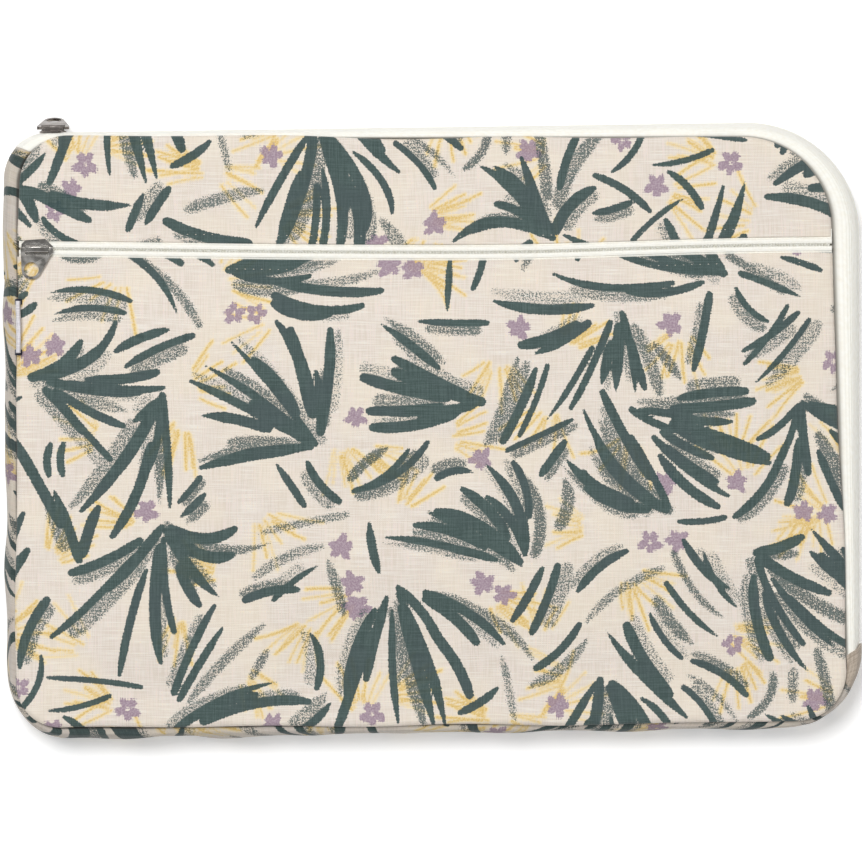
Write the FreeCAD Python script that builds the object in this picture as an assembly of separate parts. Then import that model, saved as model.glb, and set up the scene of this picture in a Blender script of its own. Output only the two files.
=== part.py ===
import FreeCAD, Part
import os
import math

# A padded laptop sleeve lying on its back. +X runs along the long side, +Y towards the edge
# that holds the main zip, +Z out of the front. The origin is the centre of the back face.
# All sizes are in millimetres.

# --- panel outline, seen from the front -----------------------------------------------------
PANEL_WIDTH = 340.0
PANEL_HEIGHT = 242.0
PANEL_RADII = (12.0, 41.0, 18.0, 13.0)      # upper left, upper right, lower right, lower left

# --- side wall: how far it bulges past the panels at half depth --------------------------------
BULGE_LEFT = 5.4
BULGE_RIGHT = 6.6
BULGE_BOTTOM = 4.6
BULGE_TOP_LEFT = 2.4                        # the zipped edge leans out towards the right
BULGE_TOP_RIGHT = 6.8
WALL_RADII = (16.0, 47.0, 23.0, 17.0)
WALL_THICKNESS = 0.6
WALL_ROUND = 5.0                            # depth over which the wall curves in to each seam
BACK_SEAM_Z = 2.0
FRONT_SEAM_Z = 24.0
SEAM_LIP = 0.5                              # how far the wall stands off the panel at the seam
SEAM_SLANT = 1.6                            # level thickness of the slanting wall over its true one
LINING_THICKNESS = 0.4

# --- layers, as heights above the back face ----------------------------------------------------
CLOTH = 0.6
BACK_FOAM_TOP = 3.6
BACK_LINING_TOP = 4.0
FRONT_LINING_BOTTOM = 20.0
FRONT_FOAM_BOTTOM = 20.4
FRONT_FOAM_TOP = 23.0
POCKET_BACKING_TOP = 23.4
FRONT_CLOTH_BOTTOM = 25.4
FRONT_TOP = 26.0
FOAM_INSET = 1.0
BINDING_WIDTH = 7.0
BINDING_THICKNESS = 1.0
CLEARANCE = 0.3                             # between pieces that move past each other

# --- the fold that the front bends about when the sleeve is opened ----------------------------
FOLD_LEFT_Y = 62.0
FOLD_RIGHT_Y = -89.0
FOLD_GAP = 0.5

# --- pocket zip --------------------------------------------------------------------------------
POCKET_ZIP_Y = 75.4
POCKET_WINDOW = 7.0                         # bare zip between the two folded cloth edges
POCKET_TAPE_WIDTH = 10.5
POCKET_TAPE_THICKNESS = 0.4
POCKET_COIL_THICKNESS = 0.7
POCKET_ZIP_X = (-169.0, 168.0)
POCKET_COIL_X = (-168.0, 167.0)

# --- main zip ----------------------------------------------------------------------------------
MAIN_ZIP_Z = 13.0
MAIN_ZIP_END_Y = -89.0
MAIN_COIL_START_X = -158.5
MAIN_COIL_THICKNESS = 1.2
COIL_WIDTH = 2.4
CHAIN_GAP = 1.0                             # room between the two halves for the slider's post
END_TAB_LENGTH = 20.5
END_TAB_FROM_X = 85.0                       # the tab is all on the right-hand wall

# --- sliders and pulls -------------------------------------------------------------------------
POCKET_SLIDER_X = -161.8
POCKET_SLIDER_LENGTH = 13.0
MAIN_SLIDER_X = -156.0
MAIN_SLIDER_LENGTH = 11.0
SLIDER_NOSE_WIDTH = 8.8
SLIDER_TAIL_WIDTH = 7.6
SLIDER_PLATE = 0.7
SLIDER_SPINE = 0.6                          # width of the post between the two plates
FLANGE_INNER = 3.2
FLANGE_OUTER = 3.8
SLIDER_GAP = 0.2
SLIDER_CLIP = 1.6                           # length cut off each corner of a slider's plates
FLANGE_SETBACK = 2.4                        # flanges stop this far short of each end
SPINE_SETBACK = 1.5                         # so does the post, from the nose
POCKET_SLIDER_BASE = 0.5                    # thickness of the slider's under plate
MAIN_SLIDER_BASE = 0.6
CROWN_LENGTH = 9.4
CROWN_WIDTH = 2.9
CROWN_HEIGHT = 2.6
CROWN_WALL = 0.6
CROWN_END = 1.7                             # solid length at each end, bored for the pull's pins
SPRING_LENGTH = (-2.8, 2.8)
SPRING_HEIGHT = (1.2, 1.5)                  # above the crown's foot
SPRING_WIDTH = 1.2
SPRING_FOOT = 2.3                           # where the leaf turns down, along the slider
LOCK_PIN = (-1.9, -1.3)
LOCK_PIN_WIDTH = 0.5
LOCK_PIN_DROP = 0.4                         # how far the pin reaches below the top plate
LOCK_HOLE = (-2.2, -1.0)
LOCK_HOLE_WIDTH = 0.8
HINGE_RISE = 1.5                            # pull's pin above the slider's top plate
PIN_RADIUS = 0.5
PIN_BORE_RADIUS = 0.55
PIN_DEPTH = 1.0
PIN_BORE_DEPTH = 1.1
PULL_THICKNESS = 1.2
PULL_ARM_RADIUS = 0.9
PULL_END_RADIUS = 4.1
PULL_HOLE_RADIUS = 3.0
PULL_THROAT_ROOM = 0.7                      # between the crown's side and the pull's inner edge
POCKET_PULL_REACH = 12.3
POCKET_PULL_SLANT = 16.0                    # degrees that its end leans towards the left seam
POCKET_PULL_DROOP = 7.0                     # degrees down from level, onto the cloth
MAIN_PULL_REACH = 13.35
MAIN_PULL_LIFT = 162.0                      # degrees from pointing up to hanging down and out

# --- label -------------------------------------------------------------------------------------
LABEL_Y = (32.8, 54.2)
LABEL_THICKNESS = 1.4
LABEL_RISE = 7.0
LABEL_SEAM_GAP = 0.05
LABEL_FOLD_RADIUS = 0.56

FAR = 500.0                                 # larger than the sleeve, for cutting regions
TALL = 60.0
OVERCUT = 1.0                               # a cutting shape stands this far past what it cuts


def vec(x, y, z=0.0):
    return FreeCAD.Vector(x, y, z)


PANEL_CORNERS = (
    vec(-PANEL_WIDTH / 2, PANEL_HEIGHT / 2),
    vec(PANEL_WIDTH / 2, PANEL_HEIGHT / 2),
    vec(PANEL_WIDTH / 2, -PANEL_HEIGHT / 2),
    vec(-PANEL_WIDTH / 2, -PANEL_HEIGHT / 2),
)
WALL_CORNERS = (
    PANEL_CORNERS[0] + vec(-BULGE_LEFT, BULGE_TOP_LEFT),
    PANEL_CORNERS[1] + vec(BULGE_RIGHT, BULGE_TOP_RIGHT),
    PANEL_CORNERS[2] + vec(BULGE_RIGHT, -BULGE_BOTTOM),
    PANEL_CORNERS[3] + vec(-BULGE_LEFT, -BULGE_BOTTOM),
)
TRACK = (WALL_CORNERS[1] - WALL_CORNERS[0]).normalize()
TRACK_TILT = math.degrees(math.atan2(TRACK.y, TRACK.x))


def rounded_outline(corners, radii, offset, z):
    """Closed outline of four straight sides, each moved outwards by offset, and four round corners."""
    edges = []
    moved = []
    for i in range(4):
        before = (corners[i] - corners[i - 1]).normalize()
        after = (corners[(i + 1) % 4] - corners[i]).normalize()
        # the corners run clockwise, so the outward side is to the left of each run
        out_before = vec(-before.y, before.x)
        out_after = vec(-after.y, after.x)
        bisector = (out_before + out_after).normalize()
        tip = corners[i] + bisector * (offset / bisector.dot(out_before))
        radius = radii[i] + offset
        half_turn = math.acos(before.dot(after)) / 2
        cut = radius * math.tan(half_turn)
        centre = tip - bisector * (radius / math.cos(half_turn))
        moved.append((tip - before * cut, centre + bisector * radius, tip + after * cut))
    for i in range(4):
        start, middle, end = (p + vec(0, 0, z) for p in moved[i])
        next_start = moved[(i + 1) % 4][0] + vec(0, 0, z)
        edges.append(Part.Arc(start, middle, end).toShape())
        edges.append(Part.LineSegment(end, next_start).toShape())
    return Part.Wire(edges)


def panel_slab(offset, low, high):
    """A flat layer with the panels' outline, grown by offset."""
    face = Part.Face(rounded_outline(PANEL_CORNERS, PANEL_RADII, offset, low))
    return face.extrude(vec(0, 0, high - low))


def wall_slab(offset, low, high):
    """A flat layer with the side wall's outline at half depth, grown by offset."""
    face = Part.Face(rounded_outline(WALL_CORNERS, WALL_RADII, offset, low))
    return face.extrude(vec(0, 0, high - low))


def barrel(wall_offset, seam_offset):
    """The space inside the side wall: drawn in at both seams and upright between them."""
    sections = (
        rounded_outline(PANEL_CORNERS, PANEL_RADII, seam_offset, BACK_SEAM_Z),
        rounded_outline(WALL_CORNERS, WALL_RADII, wall_offset, BACK_SEAM_Z + WALL_ROUND),
        rounded_outline(WALL_CORNERS, WALL_RADII, wall_offset, FRONT_SEAM_Z - WALL_ROUND),
        rounded_outline(PANEL_CORNERS, PANEL_RADII, seam_offset, FRONT_SEAM_Z),
    )
    return Part.makeLoft(list(sections), True, True)


def prism(points, low=-TALL, high=TALL):
    """An upright prism on a polygon of points."""
    wire = Part.makePolygon([vec(x, y, low) for x, y in points + points[:1]])
    return Part.Face(wire).extrude(vec(0, 0, high - low))


def box(x, y, z):
    """A block between two values on each axis."""
    return Part.makeBox(x[1] - x[0], y[1] - y[0], z[1] - z[0], vec(x[0], y[0], z[0]))


def centred(width):
    return (-width / 2, width / 2)


def below(z):
    return box((-FAR, FAR), (-FAR, FAR), (z - TALL, z))


def above(z):
    return box((-FAR, FAR), (-FAR, FAR), (z, z + TALL))


def save(name, shape):
    """Writes one piece, and stops if it is not sound."""
    solids = shape.Solids
    if not solids or not all(s.isValid() for s in solids):
        raise ValueError("unsound shape: " + name)
    whole = solids[0] if len(solids) == 1 else Part.makeCompound(solids)
    whole.exportStep("parts/" + name + ".step")
    print(name, len(solids), round(whole.Volume, 1))


# --- regions ------------------------------------------------------------------------------------

def zip_region(margin):
    """Where the side wall is zip and not cloth: from the upper left corner to low on the right."""
    corner = WALL_CORNERS[0] + vec(WALL_RADII[0], -WALL_RADII[0])
    shift = margin * math.sqrt(2)
    reach = PANEL_HEIGHT / 2
    return prism([
        (corner.x + shift, corner.y),
        (corner.x + shift - reach, corner.y + reach),
        (FAR, corner.y + reach),
        (FAR, MAIN_ZIP_END_Y + margin),
        (reach, MAIN_ZIP_END_Y + margin),
        (reach, 0.0),
    ])


def fold_side(side):
    """Everything on one side of the fold: 1 for the part that lifts, -1 for the part that stays."""
    left = vec(-PANEL_WIDTH / 2, FOLD_LEFT_Y)
    right = vec(PANEL_WIDTH / 2, FOLD_RIGHT_Y)
    along = (right - left).normalize()
    away = vec(-along.y, along.x) * side
    near = away * (FOLD_GAP / 2)
    corners = (
        left - along * FAR + near,
        right + along * FAR + near,
        right + along * FAR + away * FAR,
        left - along * FAR + away * FAR,
    )
    return prism([(p.x, p.y) for p in corners])


FREE = fold_side(1)
FIXED = fold_side(-1)


def save_folded(name, layer):
    """Writes the two parts of a layer that the fold divides."""
    save(name + "_fixed", layer.common(FIXED))
    save(name + "_free", layer.common(FREE))


# --- back ---------------------------------------------------------------------------------------

def back_outer_panel():
    """Printed cloth under the sleeve, with its edge turned up to the seam."""
    tray = panel_slab(0, 0, BACK_SEAM_Z + CLOTH)
    hollow = panel_slab(-CLOTH, CLOTH, BACK_SEAM_Z + 2 * CLOTH)
    return tray.cut(hollow)


def back_foam_pad():
    return panel_slab(-FOAM_INSET, CLOTH, BACK_FOAM_TOP)


def back_lining():
    return panel_slab(-FOAM_INSET, BACK_FOAM_TOP, BACK_LINING_TOP)


def seam_binding(low):
    """A flat band of bias tape over the seam allowances, all round the inside."""
    high = low + BINDING_THICKNESS
    outer = panel_slab(-FOAM_INSET, low, high)
    return outer.cut(panel_slab(-FOAM_INSET - BINDING_WIDTH, low - OVERCUT, high + OVERCUT))


# --- side wall ----------------------------------------------------------------------------------

def wall_shell(depth, thickness):
    """A skin of the side wall, depth inside its outer face and clear of both panels."""
    back = depth + thickness
    outer = barrel(-depth, SEAM_LIP - SEAM_SLANT * depth)
    inner = barrel(-back, SEAM_LIP - SEAM_SLANT * back)
    panels = panel_slab(CLEARANCE, -TALL, BACK_LINING_TOP + CLEARANCE)
    panels = panels.fuse(panel_slab(CLEARANCE, FRONT_LINING_BOTTOM - CLEARANCE, TALL))
    return outer.cut(inner).cut(panels)


def zip_tape(shell, front):
    """One of the two tapes that the wall is made of where the main zip runs."""
    half = CHAIN_GAP / 2
    level = above(MAIN_ZIP_Z + half) if front else below(MAIN_ZIP_Z - half)
    return shell.common(zip_region(CLEARANCE)).common(level)


def zip_coil(front):
    """One half of the main zip's coil, a flat band behind its tape."""
    half = CHAIN_GAP / 2
    low = MAIN_ZIP_Z + half if front else MAIN_ZIP_Z - half - COIL_WIDTH
    outer = wall_slab(-WALL_THICKNESS - SLIDER_GAP, low, low + COIL_WIDTH)
    inner_offset = -WALL_THICKNESS - SLIDER_GAP - MAIN_COIL_THICKNESS
    band = outer.cut(wall_slab(inner_offset, low - OVERCUT, low + COIL_WIDTH + OVERCUT))
    run = prism([
        (MAIN_COIL_START_X, 0.0),
        (MAIN_COIL_START_X, FAR),
        (FAR, FAR),
        (FAR, MAIN_ZIP_END_Y + 2 * CLEARANCE),
        (0.0, MAIN_ZIP_END_Y + 2 * CLEARANCE),
        (0.0, 0.0),
    ])
    return band.common(run)


def zip_end_tab():
    """A folded cloth tab over the lower end of the main zip."""
    skin = barrel(CLOTH + SLIDER_GAP, SEAM_LIP + CLOTH)
    skin = skin.cut(barrel(SLIDER_GAP, SEAM_LIP))
    length = (MAIN_ZIP_END_Y - END_TAB_LENGTH, MAIN_ZIP_END_Y)
    room = box((END_TAB_FROM_X, FAR), length, (BACK_LINING_TOP, FRONT_LINING_BOTTOM))
    return skin.common(room)


def label_tab():
    """A blank woven label, folded and standing in the left seam."""
    face = -PANEL_WIDTH / 2 - CLEARANCE
    low = FRONT_SEAM_Z + LABEL_SEAM_GAP
    tab = box((face - LABEL_THICKNESS, face), LABEL_Y, (low, low + LABEL_RISE))
    crease = []
    for edge in tab.Edges:
        if min(v.Z for v in edge.Vertexes) > low + LABEL_RISE / 2 and edge.Length > 2 * LABEL_THICKNESS:
            crease.append(edge)
    return tab.makeFillet(LABEL_FOLD_RADIUS, crease)


# --- front --------------------------------------------------------------------------------------

def front_cloth():
    """The outer cloth of the front, with its edge turned down to the seam."""
    tray = panel_slab(0, FRONT_SEAM_Z, FRONT_TOP)
    return tray.cut(panel_slab(-CLOTH, FRONT_SEAM_Z - OVERCUT, FRONT_CLOTH_BOTTOM))


def front_top_strip():
    edge = POCKET_ZIP_Y + POCKET_WINDOW / 2
    return front_cloth().common(box((-FAR, FAR), (edge, FAR), (0, TALL)))


def pocket_panel():
    edge = POCKET_ZIP_Y - POCKET_WINDOW / 2
    return front_cloth().common(box((-FAR, FAR), (-FAR, edge), (0, TALL)))


def pocket_tape(side):
    """One woven tape of the pocket zip: side is 1 above the chain and -1 below it."""
    near = POCKET_ZIP_Y + side * CHAIN_GAP / 2
    span = sorted((near, near + side * POCKET_TAPE_WIDTH))
    return box(POCKET_ZIP_X, span, (FRONT_CLOTH_BOTTOM - POCKET_TAPE_THICKNESS, FRONT_CLOTH_BOTTOM))


def pocket_coil(side):
    """One half of the pocket zip's coil, a flat band under its tape."""
    near = POCKET_ZIP_Y + side * CHAIN_GAP / 2
    span = sorted((near, near + side * COIL_WIDTH))
    top = FRONT_CLOTH_BOTTOM - POCKET_TAPE_THICKNESS
    return box(POCKET_COIL_X, span, (top - POCKET_COIL_THICKNESS, top))


# --- sliders: X along the zip, Y across it, Z outwards from the tape's outer face ----------------

def slider_plate(length, low, high):
    """A plate that is wider at its nose than at its tail, with clipped corners."""
    nose = SLIDER_NOSE_WIDTH / 2
    tail = SLIDER_TAIL_WIDTH / 2
    end = length / 2
    clip = SLIDER_CLIP
    return prism([
        (-end, tail - clip), (-end + clip, tail), (end - 2 * clip, nose), (end, nose - 2 * clip),
        (end, 2 * clip - nose), (end - 2 * clip, -nose), (-end + clip, -tail), (-end, clip - tail),
    ], low, high)


def slider_body(length, top_gap, tape, coil, base):
    """Two plates joined by a thin spine, with flanges that hold the two coils."""
    floor = -tape - coil - SLIDER_GAP - base
    top = slider_plate(length, top_gap, top_gap + SLIDER_PLATE)
    bottom = slider_plate(length, floor, floor + base)
    rail = -tape - SLIDER_GAP
    inside = length / 2 - FLANGE_SETBACK
    flanges = [
        box((-inside, inside), (FLANGE_INNER, FLANGE_OUTER), (floor, rail)),
        box((-inside, inside), (-FLANGE_OUTER, -FLANGE_INNER), (floor, rail)),
    ]
    nose = length / 2 - SPINE_SETBACK
    spine = box((0, nose), centred(SLIDER_SPINE), (floor, top_gap + SLIDER_PLATE))
    pin_height = (top_gap - OVERCUT, top_gap + SLIDER_PLATE + OVERCUT)
    pin_hole = box(LOCK_HOLE, centred(LOCK_HOLE_WIDTH), pin_height)
    return top.fuse([bottom, spine] + flanges).cut(pin_hole).removeSplitter()


def slider_crown(base):
    """The cap over the lock spring: hollow in the middle, with a blind bore for the pull at each end."""
    top = base + CROWN_HEIGHT
    cap = box(centred(CROWN_LENGTH), centred(CROWN_WIDTH), (base, top))
    long_edges = []
    for edge in cap.Edges:
        if min(v.Z for v in edge.Vertexes) > base and edge.Length > CROWN_WIDTH:
            long_edges.append(edge)
    cap = cap.makeFillet(CROWN_WIDTH / 4, long_edges)
    room_length = centred(CROWN_LENGTH - 2 * CROWN_END)
    room_width = centred(CROWN_WIDTH - 2 * CROWN_WALL)
    cap = cap.cut(box(room_length, room_width, (base - OVERCUT, top - CROWN_WALL)))
    for side in (-1, 1):
        start = vec(side * CROWN_LENGTH / 2, 0, base + HINGE_RISE)
        cap = cap.cut(Part.makeCylinder(PIN_BORE_RADIUS, PIN_BORE_DEPTH, start, vec(-side, 0, 0)))
    return cap


def lock_spring(base):
    """A bent leaf inside the crown with the pin that drops between the coils."""
    width = centred(SPRING_WIDTH)
    top = base + SPRING_HEIGHT[1]
    leaf = box(SPRING_LENGTH, width, (base + SPRING_HEIGHT[0], top))
    foot = box((SPRING_FOOT, SPRING_LENGTH[1]), width, (base, top))
    pin = box(LOCK_PIN, centred(LOCK_PIN_WIDTH), (base - SLIDER_PLATE - LOCK_PIN_DROP, top))
    return leaf.fuse([foot, pin]).removeSplitter()


def pull(reach, slant, hinge_z, turn):
    """A flat ring pull on two stub pins: arms beside the crown that run into a round end with an eye."""
    arm_x = CROWN_LENGTH / 2 + SLIDER_GAP + PULL_ARM_RADIUS
    eye_far = reach - PULL_END_RADIUS
    eye = vec(-eye_far * math.tan(math.radians(slant)), -eye_far)
    low = hinge_z - PULL_THICKNESS / 2
    circles = (
        (vec(-arm_x, 0), PULL_ARM_RADIUS),
        (eye, PULL_END_RADIUS),
        (vec(arm_x, 0), PULL_ARM_RADIUS),
    )
    centre = (circles[0][0] + circles[1][0] + circles[2][0]) / 3
    plate = Part.makeCylinder(PULL_END_RADIUS, PULL_THICKNESS, eye + vec(0, 0, low))
    for i in range(3):
        (a, ra), (b, rb) = circles[i], circles[(i + 1) % 3]
        along = b - a
        lean = math.asin((ra - rb) / along.Length)
        side = math.atan2(along.y, along.x) - math.pi / 2 + lean
        out = vec(math.cos(side), math.sin(side))
        sector = (a + out * ra, b + out * rb, b, centre, a)
        plate = plate.fuse(prism([(p.x, p.y) for p in sector], low, low + PULL_THICKNESS))
        plate = plate.fuse(Part.makeCylinder(ra, PULL_THICKNESS, a + vec(0, 0, low)))
    plate = plate.cut(Part.makeCylinder(PULL_HOLE_RADIUS, TALL, eye + vec(0, 0, low - OVERCUT)))
    throat = CROWN_LENGTH / 2 + SLIDER_GAP
    throat_end = -CROWN_WIDTH / 2 - PULL_THROAT_ROOM
    plate = plate.cut(box((-throat, throat), (throat_end, TALL), (low - OVERCUT, low + TALL)))
    for side in (-1, 1):
        start = vec(side * (throat + PULL_ARM_RADIUS), 0, hinge_z)
        length = PULL_ARM_RADIUS + SLIDER_GAP + PIN_DEPTH
        plate = plate.fuse(Part.makeCylinder(PIN_RADIUS, length, start, vec(-side, 0, 0)))
    plate = plate.removeSplitter()
    plate.rotate(vec(0, 0, hinge_z), vec(-1, 0, 0), turn)
    return plate


def on_pocket(shape):
    shape.translate(vec(POCKET_SLIDER_X, POCKET_ZIP_Y, FRONT_CLOTH_BOTTOM))
    return shape


def on_wall(shape):
    """Turns a slider piece to face out of the zipped edge, and puts it on the main zip."""
    shape.rotate(vec(0, 0, 0), vec(1, 0, 0), -90)
    shape.rotate(vec(0, 0, 0), vec(0, 0, 1), TRACK_TILT)
    run = MAIN_SLIDER_X - WALL_CORNERS[0].x
    shape.translate(WALL_CORNERS[0] + TRACK * (run / TRACK.x) + vec(0, 0, MAIN_ZIP_Z))
    return shape


def save_slider(name, place, length, top_gap, tape, coil, base, reach, slant, turn):
    """Writes a slider's body, crown, lock spring and pull."""
    crown_base = top_gap + SLIDER_PLATE
    save(name + "_slider_body", place(slider_body(length, top_gap, tape, coil, base)))
    save(name + "_slider_crown", place(slider_crown(crown_base)))
    save(name + "_slider_lock_spring", place(lock_spring(crown_base)))
    save(name + "_slider_pull", place(pull(reach, slant, crown_base + HINGE_RISE, turn)))


# --- the sleeve ---------------------------------------------------------------------------------

def build():
    save("back_outer_panel", back_outer_panel())
    save("back_foam_pad", back_foam_pad())
    save("back_lining", back_lining())
    save("back_seam_binding", seam_binding(BACK_LINING_TOP))

    skin = wall_shell(0, WALL_THICKNESS)
    save("gusset_outer", skin.cut(zip_region(0)))
    save("gusset_lining", wall_shell(WALL_THICKNESS + SLIDER_GAP, LINING_THICKNESS).cut(zip_region(0)))
    save("main_zip_back_tape", zip_tape(skin, False))
    save("main_zip_front_tape", zip_tape(skin, True))
    save("main_zip_back_coil", zip_coil(False))
    save("main_zip_front_coil", zip_coil(True))
    save("zip_end_tab", zip_end_tab())
    save("label_tab", label_tab())

    save_folded("front_lining", panel_slab(-FOAM_INSET, FRONT_LINING_BOTTOM, FRONT_FOAM_BOTTOM))
    save_folded("front_foam_pad", panel_slab(-FOAM_INSET, FRONT_FOAM_BOTTOM, FRONT_FOAM_TOP))
    save_folded("pocket_backing", panel_slab(-FOAM_INSET, FRONT_FOAM_TOP, POCKET_BACKING_TOP))
    save_folded("front_seam_binding", seam_binding(FRONT_LINING_BOTTOM - BINDING_THICKNESS))
    save_folded("pocket_panel", pocket_panel())
    save("front_top_strip", front_top_strip())

    save("pocket_zip_upper_tape", pocket_tape(1))
    save("pocket_zip_lower_tape", pocket_tape(-1))
    save("pocket_zip_upper_coil", pocket_coil(1))
    save("pocket_zip_lower_coil", pocket_coil(-1))

    save_slider("pocket", on_pocket, POCKET_SLIDER_LENGTH, CLOTH + SLIDER_GAP, POCKET_TAPE_THICKNESS,
                POCKET_COIL_THICKNESS, POCKET_SLIDER_BASE, POCKET_PULL_REACH, POCKET_PULL_SLANT,
                -POCKET_PULL_DROOP)
    save_slider("main", on_wall, MAIN_SLIDER_LENGTH, SLIDER_GAP, WALL_THICKNESS + SLIDER_GAP,
                MAIN_COIL_THICKNESS, MAIN_SLIDER_BASE, MAIN_PULL_REACH, 0.0, MAIN_PULL_LIFT)


build()
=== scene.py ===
import bpy
import math
import numpy as np
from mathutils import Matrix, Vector
from mathutils.bvhtree import BVHTree


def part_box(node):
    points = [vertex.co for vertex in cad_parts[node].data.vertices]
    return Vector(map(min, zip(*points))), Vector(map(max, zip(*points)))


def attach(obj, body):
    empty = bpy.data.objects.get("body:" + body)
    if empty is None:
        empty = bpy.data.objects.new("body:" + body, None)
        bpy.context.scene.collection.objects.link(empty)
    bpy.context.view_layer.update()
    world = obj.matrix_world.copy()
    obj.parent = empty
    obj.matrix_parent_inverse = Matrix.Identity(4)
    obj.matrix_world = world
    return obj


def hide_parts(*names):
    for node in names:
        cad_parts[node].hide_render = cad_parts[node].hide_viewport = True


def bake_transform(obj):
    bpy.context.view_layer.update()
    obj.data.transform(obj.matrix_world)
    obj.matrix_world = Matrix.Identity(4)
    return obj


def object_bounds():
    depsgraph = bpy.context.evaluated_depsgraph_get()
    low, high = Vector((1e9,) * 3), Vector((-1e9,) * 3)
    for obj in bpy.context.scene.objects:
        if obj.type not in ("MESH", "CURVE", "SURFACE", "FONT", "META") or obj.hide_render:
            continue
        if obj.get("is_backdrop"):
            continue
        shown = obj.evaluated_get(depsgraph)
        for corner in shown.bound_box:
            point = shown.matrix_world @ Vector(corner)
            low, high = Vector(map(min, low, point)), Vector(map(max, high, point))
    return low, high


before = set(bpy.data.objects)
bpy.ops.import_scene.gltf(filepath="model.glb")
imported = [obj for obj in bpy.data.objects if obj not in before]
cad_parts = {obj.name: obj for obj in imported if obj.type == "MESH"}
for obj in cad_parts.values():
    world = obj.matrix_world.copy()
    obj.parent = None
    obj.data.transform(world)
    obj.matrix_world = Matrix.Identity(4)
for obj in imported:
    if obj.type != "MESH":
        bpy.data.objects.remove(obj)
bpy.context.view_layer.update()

# A padded cloth laptop sleeve lying on its back. Shapes are worked out in millimetres, in the frame's
# own axes, and a mesh is written in metres.
MM = 0.001


# --- places taken from the frame ---

def edges_of(node):
    """Lowest and highest corner of a CAD node, in millimetres."""
    low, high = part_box(node)
    return np.array(low) / MM, np.array(high) / MM


PANEL_LOW, PANEL_HIGH = edges_of("back_outer_panel")
WALL_LOW, WALL_HIGH = edges_of("gusset_outer")
STRIP_LOW, STRIP_HIGH = edges_of("front_top_strip")
POCKET_HIGH = edges_of("pocket_panel_free")[1]
FRONT_Z = STRIP_HIGH[2]
BACK_SEAM_Z, FRONT_SEAM_Z = WALL_LOW[2], WALL_HIGH[2]
MIDDLE_Z = (BACK_SEAM_Z + FRONT_SEAM_Z) / 2
HALF_DEPTH = (FRONT_SEAM_Z - BACK_SEAM_Z) / 2
ZIP_END_Y = edges_of("main_zip_back_tape")[0][1]
LINING_LOW_Z = edges_of("back_lining")[1][2]
LINING_HIGH_Z = edges_of("front_lining_fixed")[0][2]
WINDOW_TOP, WINDOW_BOTTOM = STRIP_LOW[1], POCKET_HIGH[1]
POCKET_ZIP_Y = (WINDOW_TOP + WINDOW_BOTTOM) / 2
POCKET_TAPE_Z = edges_of("pocket_zip_upper_tape")[1][2]
POCKET_BACK_Z = edges_of("pocket_backing_free")[0][2] + 0.2
BACK_BINDING_Z = [edge[2] for edge in edges_of("back_seam_binding")]
FRONT_BINDING_Z = [edge[2] for edge in edges_of("front_seam_binding_fixed")]

# --- driving sizes ---
SEAM_PULL = 6.6            # how far the zip draws the front in at its upper right
ZIP_LIFT = 0.35            # how far the whole pocket zip sits above its level line
ZIP_RISE = 1.7             # how much higher its right end is
ZIP_SAG = 1.6              # how far the pocket zip hangs down in the middle
ROLL = 2.6                 # width over which the padded edge rolls down to the seam
CLOTH_STEP = 0.85          # spacing of the printed cloth's grid
TOOTH_PITCH = 1.27

# corners of the outlines, clockwise from the upper left, and the radius of each
FRONT_CORNERS = np.array([
    (PANEL_LOW[0], PANEL_HIGH[1] + 0.7),
    (PANEL_HIGH[0] - SEAM_PULL, PANEL_HIGH[1] + 0.9),
    (PANEL_HIGH[0] + 2.3, PANEL_LOW[1] + 2.6),
    (PANEL_LOW[0] - 0.8, PANEL_LOW[1] - 1.0),
])
FRONT_RADII = (20.0, 37.0, 22.0, 19.0)
BACK_CORNERS = np.array([
    (PANEL_LOW[0], PANEL_HIGH[1]), PANEL_HIGH[:2], (PANEL_HIGH[0], PANEL_LOW[1]), PANEL_LOW[:2],
])
BACK_RADII = (12.0, 41.0, 18.0, 13.0)
WALL_CORNERS = np.array([
    (WALL_LOW[0] - 1.4, PANEL_HIGH[1] + 2.4),
    (WALL_HIGH[0], PANEL_HIGH[1] + 7.4),
    (WALL_HIGH[0], WALL_LOW[1] + 4.3),
    (WALL_LOW[0] + 1.2, WALL_LOW[1] - 0.8),
])
WALL_RADII = (19.0, 46.0, 31.0, 26.0)


# --- numbers ---

def smooth(low, high, x):
    """0 below low, 1 above high, and an S-shaped rise between them."""
    t = np.clip((np.asarray(x, float) - low) / (high - low), 0, 1)
    return t * t * (3 - 2 * t)


def ripple(x, y, wavelength, seed, waves=14):
    """A soft random surface of unit height: a sum of plane waves near one wavelength."""
    rng = np.random.default_rng(seed)
    total = np.zeros(np.shape(x))
    for _ in range(waves):
        turn = rng.uniform(0, 2 * math.pi)
        k = 2 * math.pi / (wavelength * rng.uniform(0.7, 1.5))
        total += np.sin(k * (x * math.cos(turn) + y * math.sin(turn)) + rng.uniform(0, 2 * math.pi))
    return total / math.sqrt(waves / 2)


def unit(vectors):
    """Each vector at a length of one."""
    return vectors / np.maximum(np.linalg.norm(vectors, axis=-1, keepdims=True), 1e-9)


def travelled(line):
    """Distance covered along a polyline up to each of its points."""
    return np.r_[0, np.cumsum(np.linalg.norm(np.diff(line, axis=0), axis=1))]


def knots(length, step, fine, rim=3.2):
    """Places from 0 to 1 along a length, fine apart within rim of each end and step apart between."""
    ends = np.arange(0, rim, fine)
    count = max(2, int(round((length - 2 * rim) / step)))
    middle = np.linspace(rim, length - rim, count + 1)
    return np.concatenate([ends, middle, length - ends[::-1]]) / length


# --- outlines ---

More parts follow.
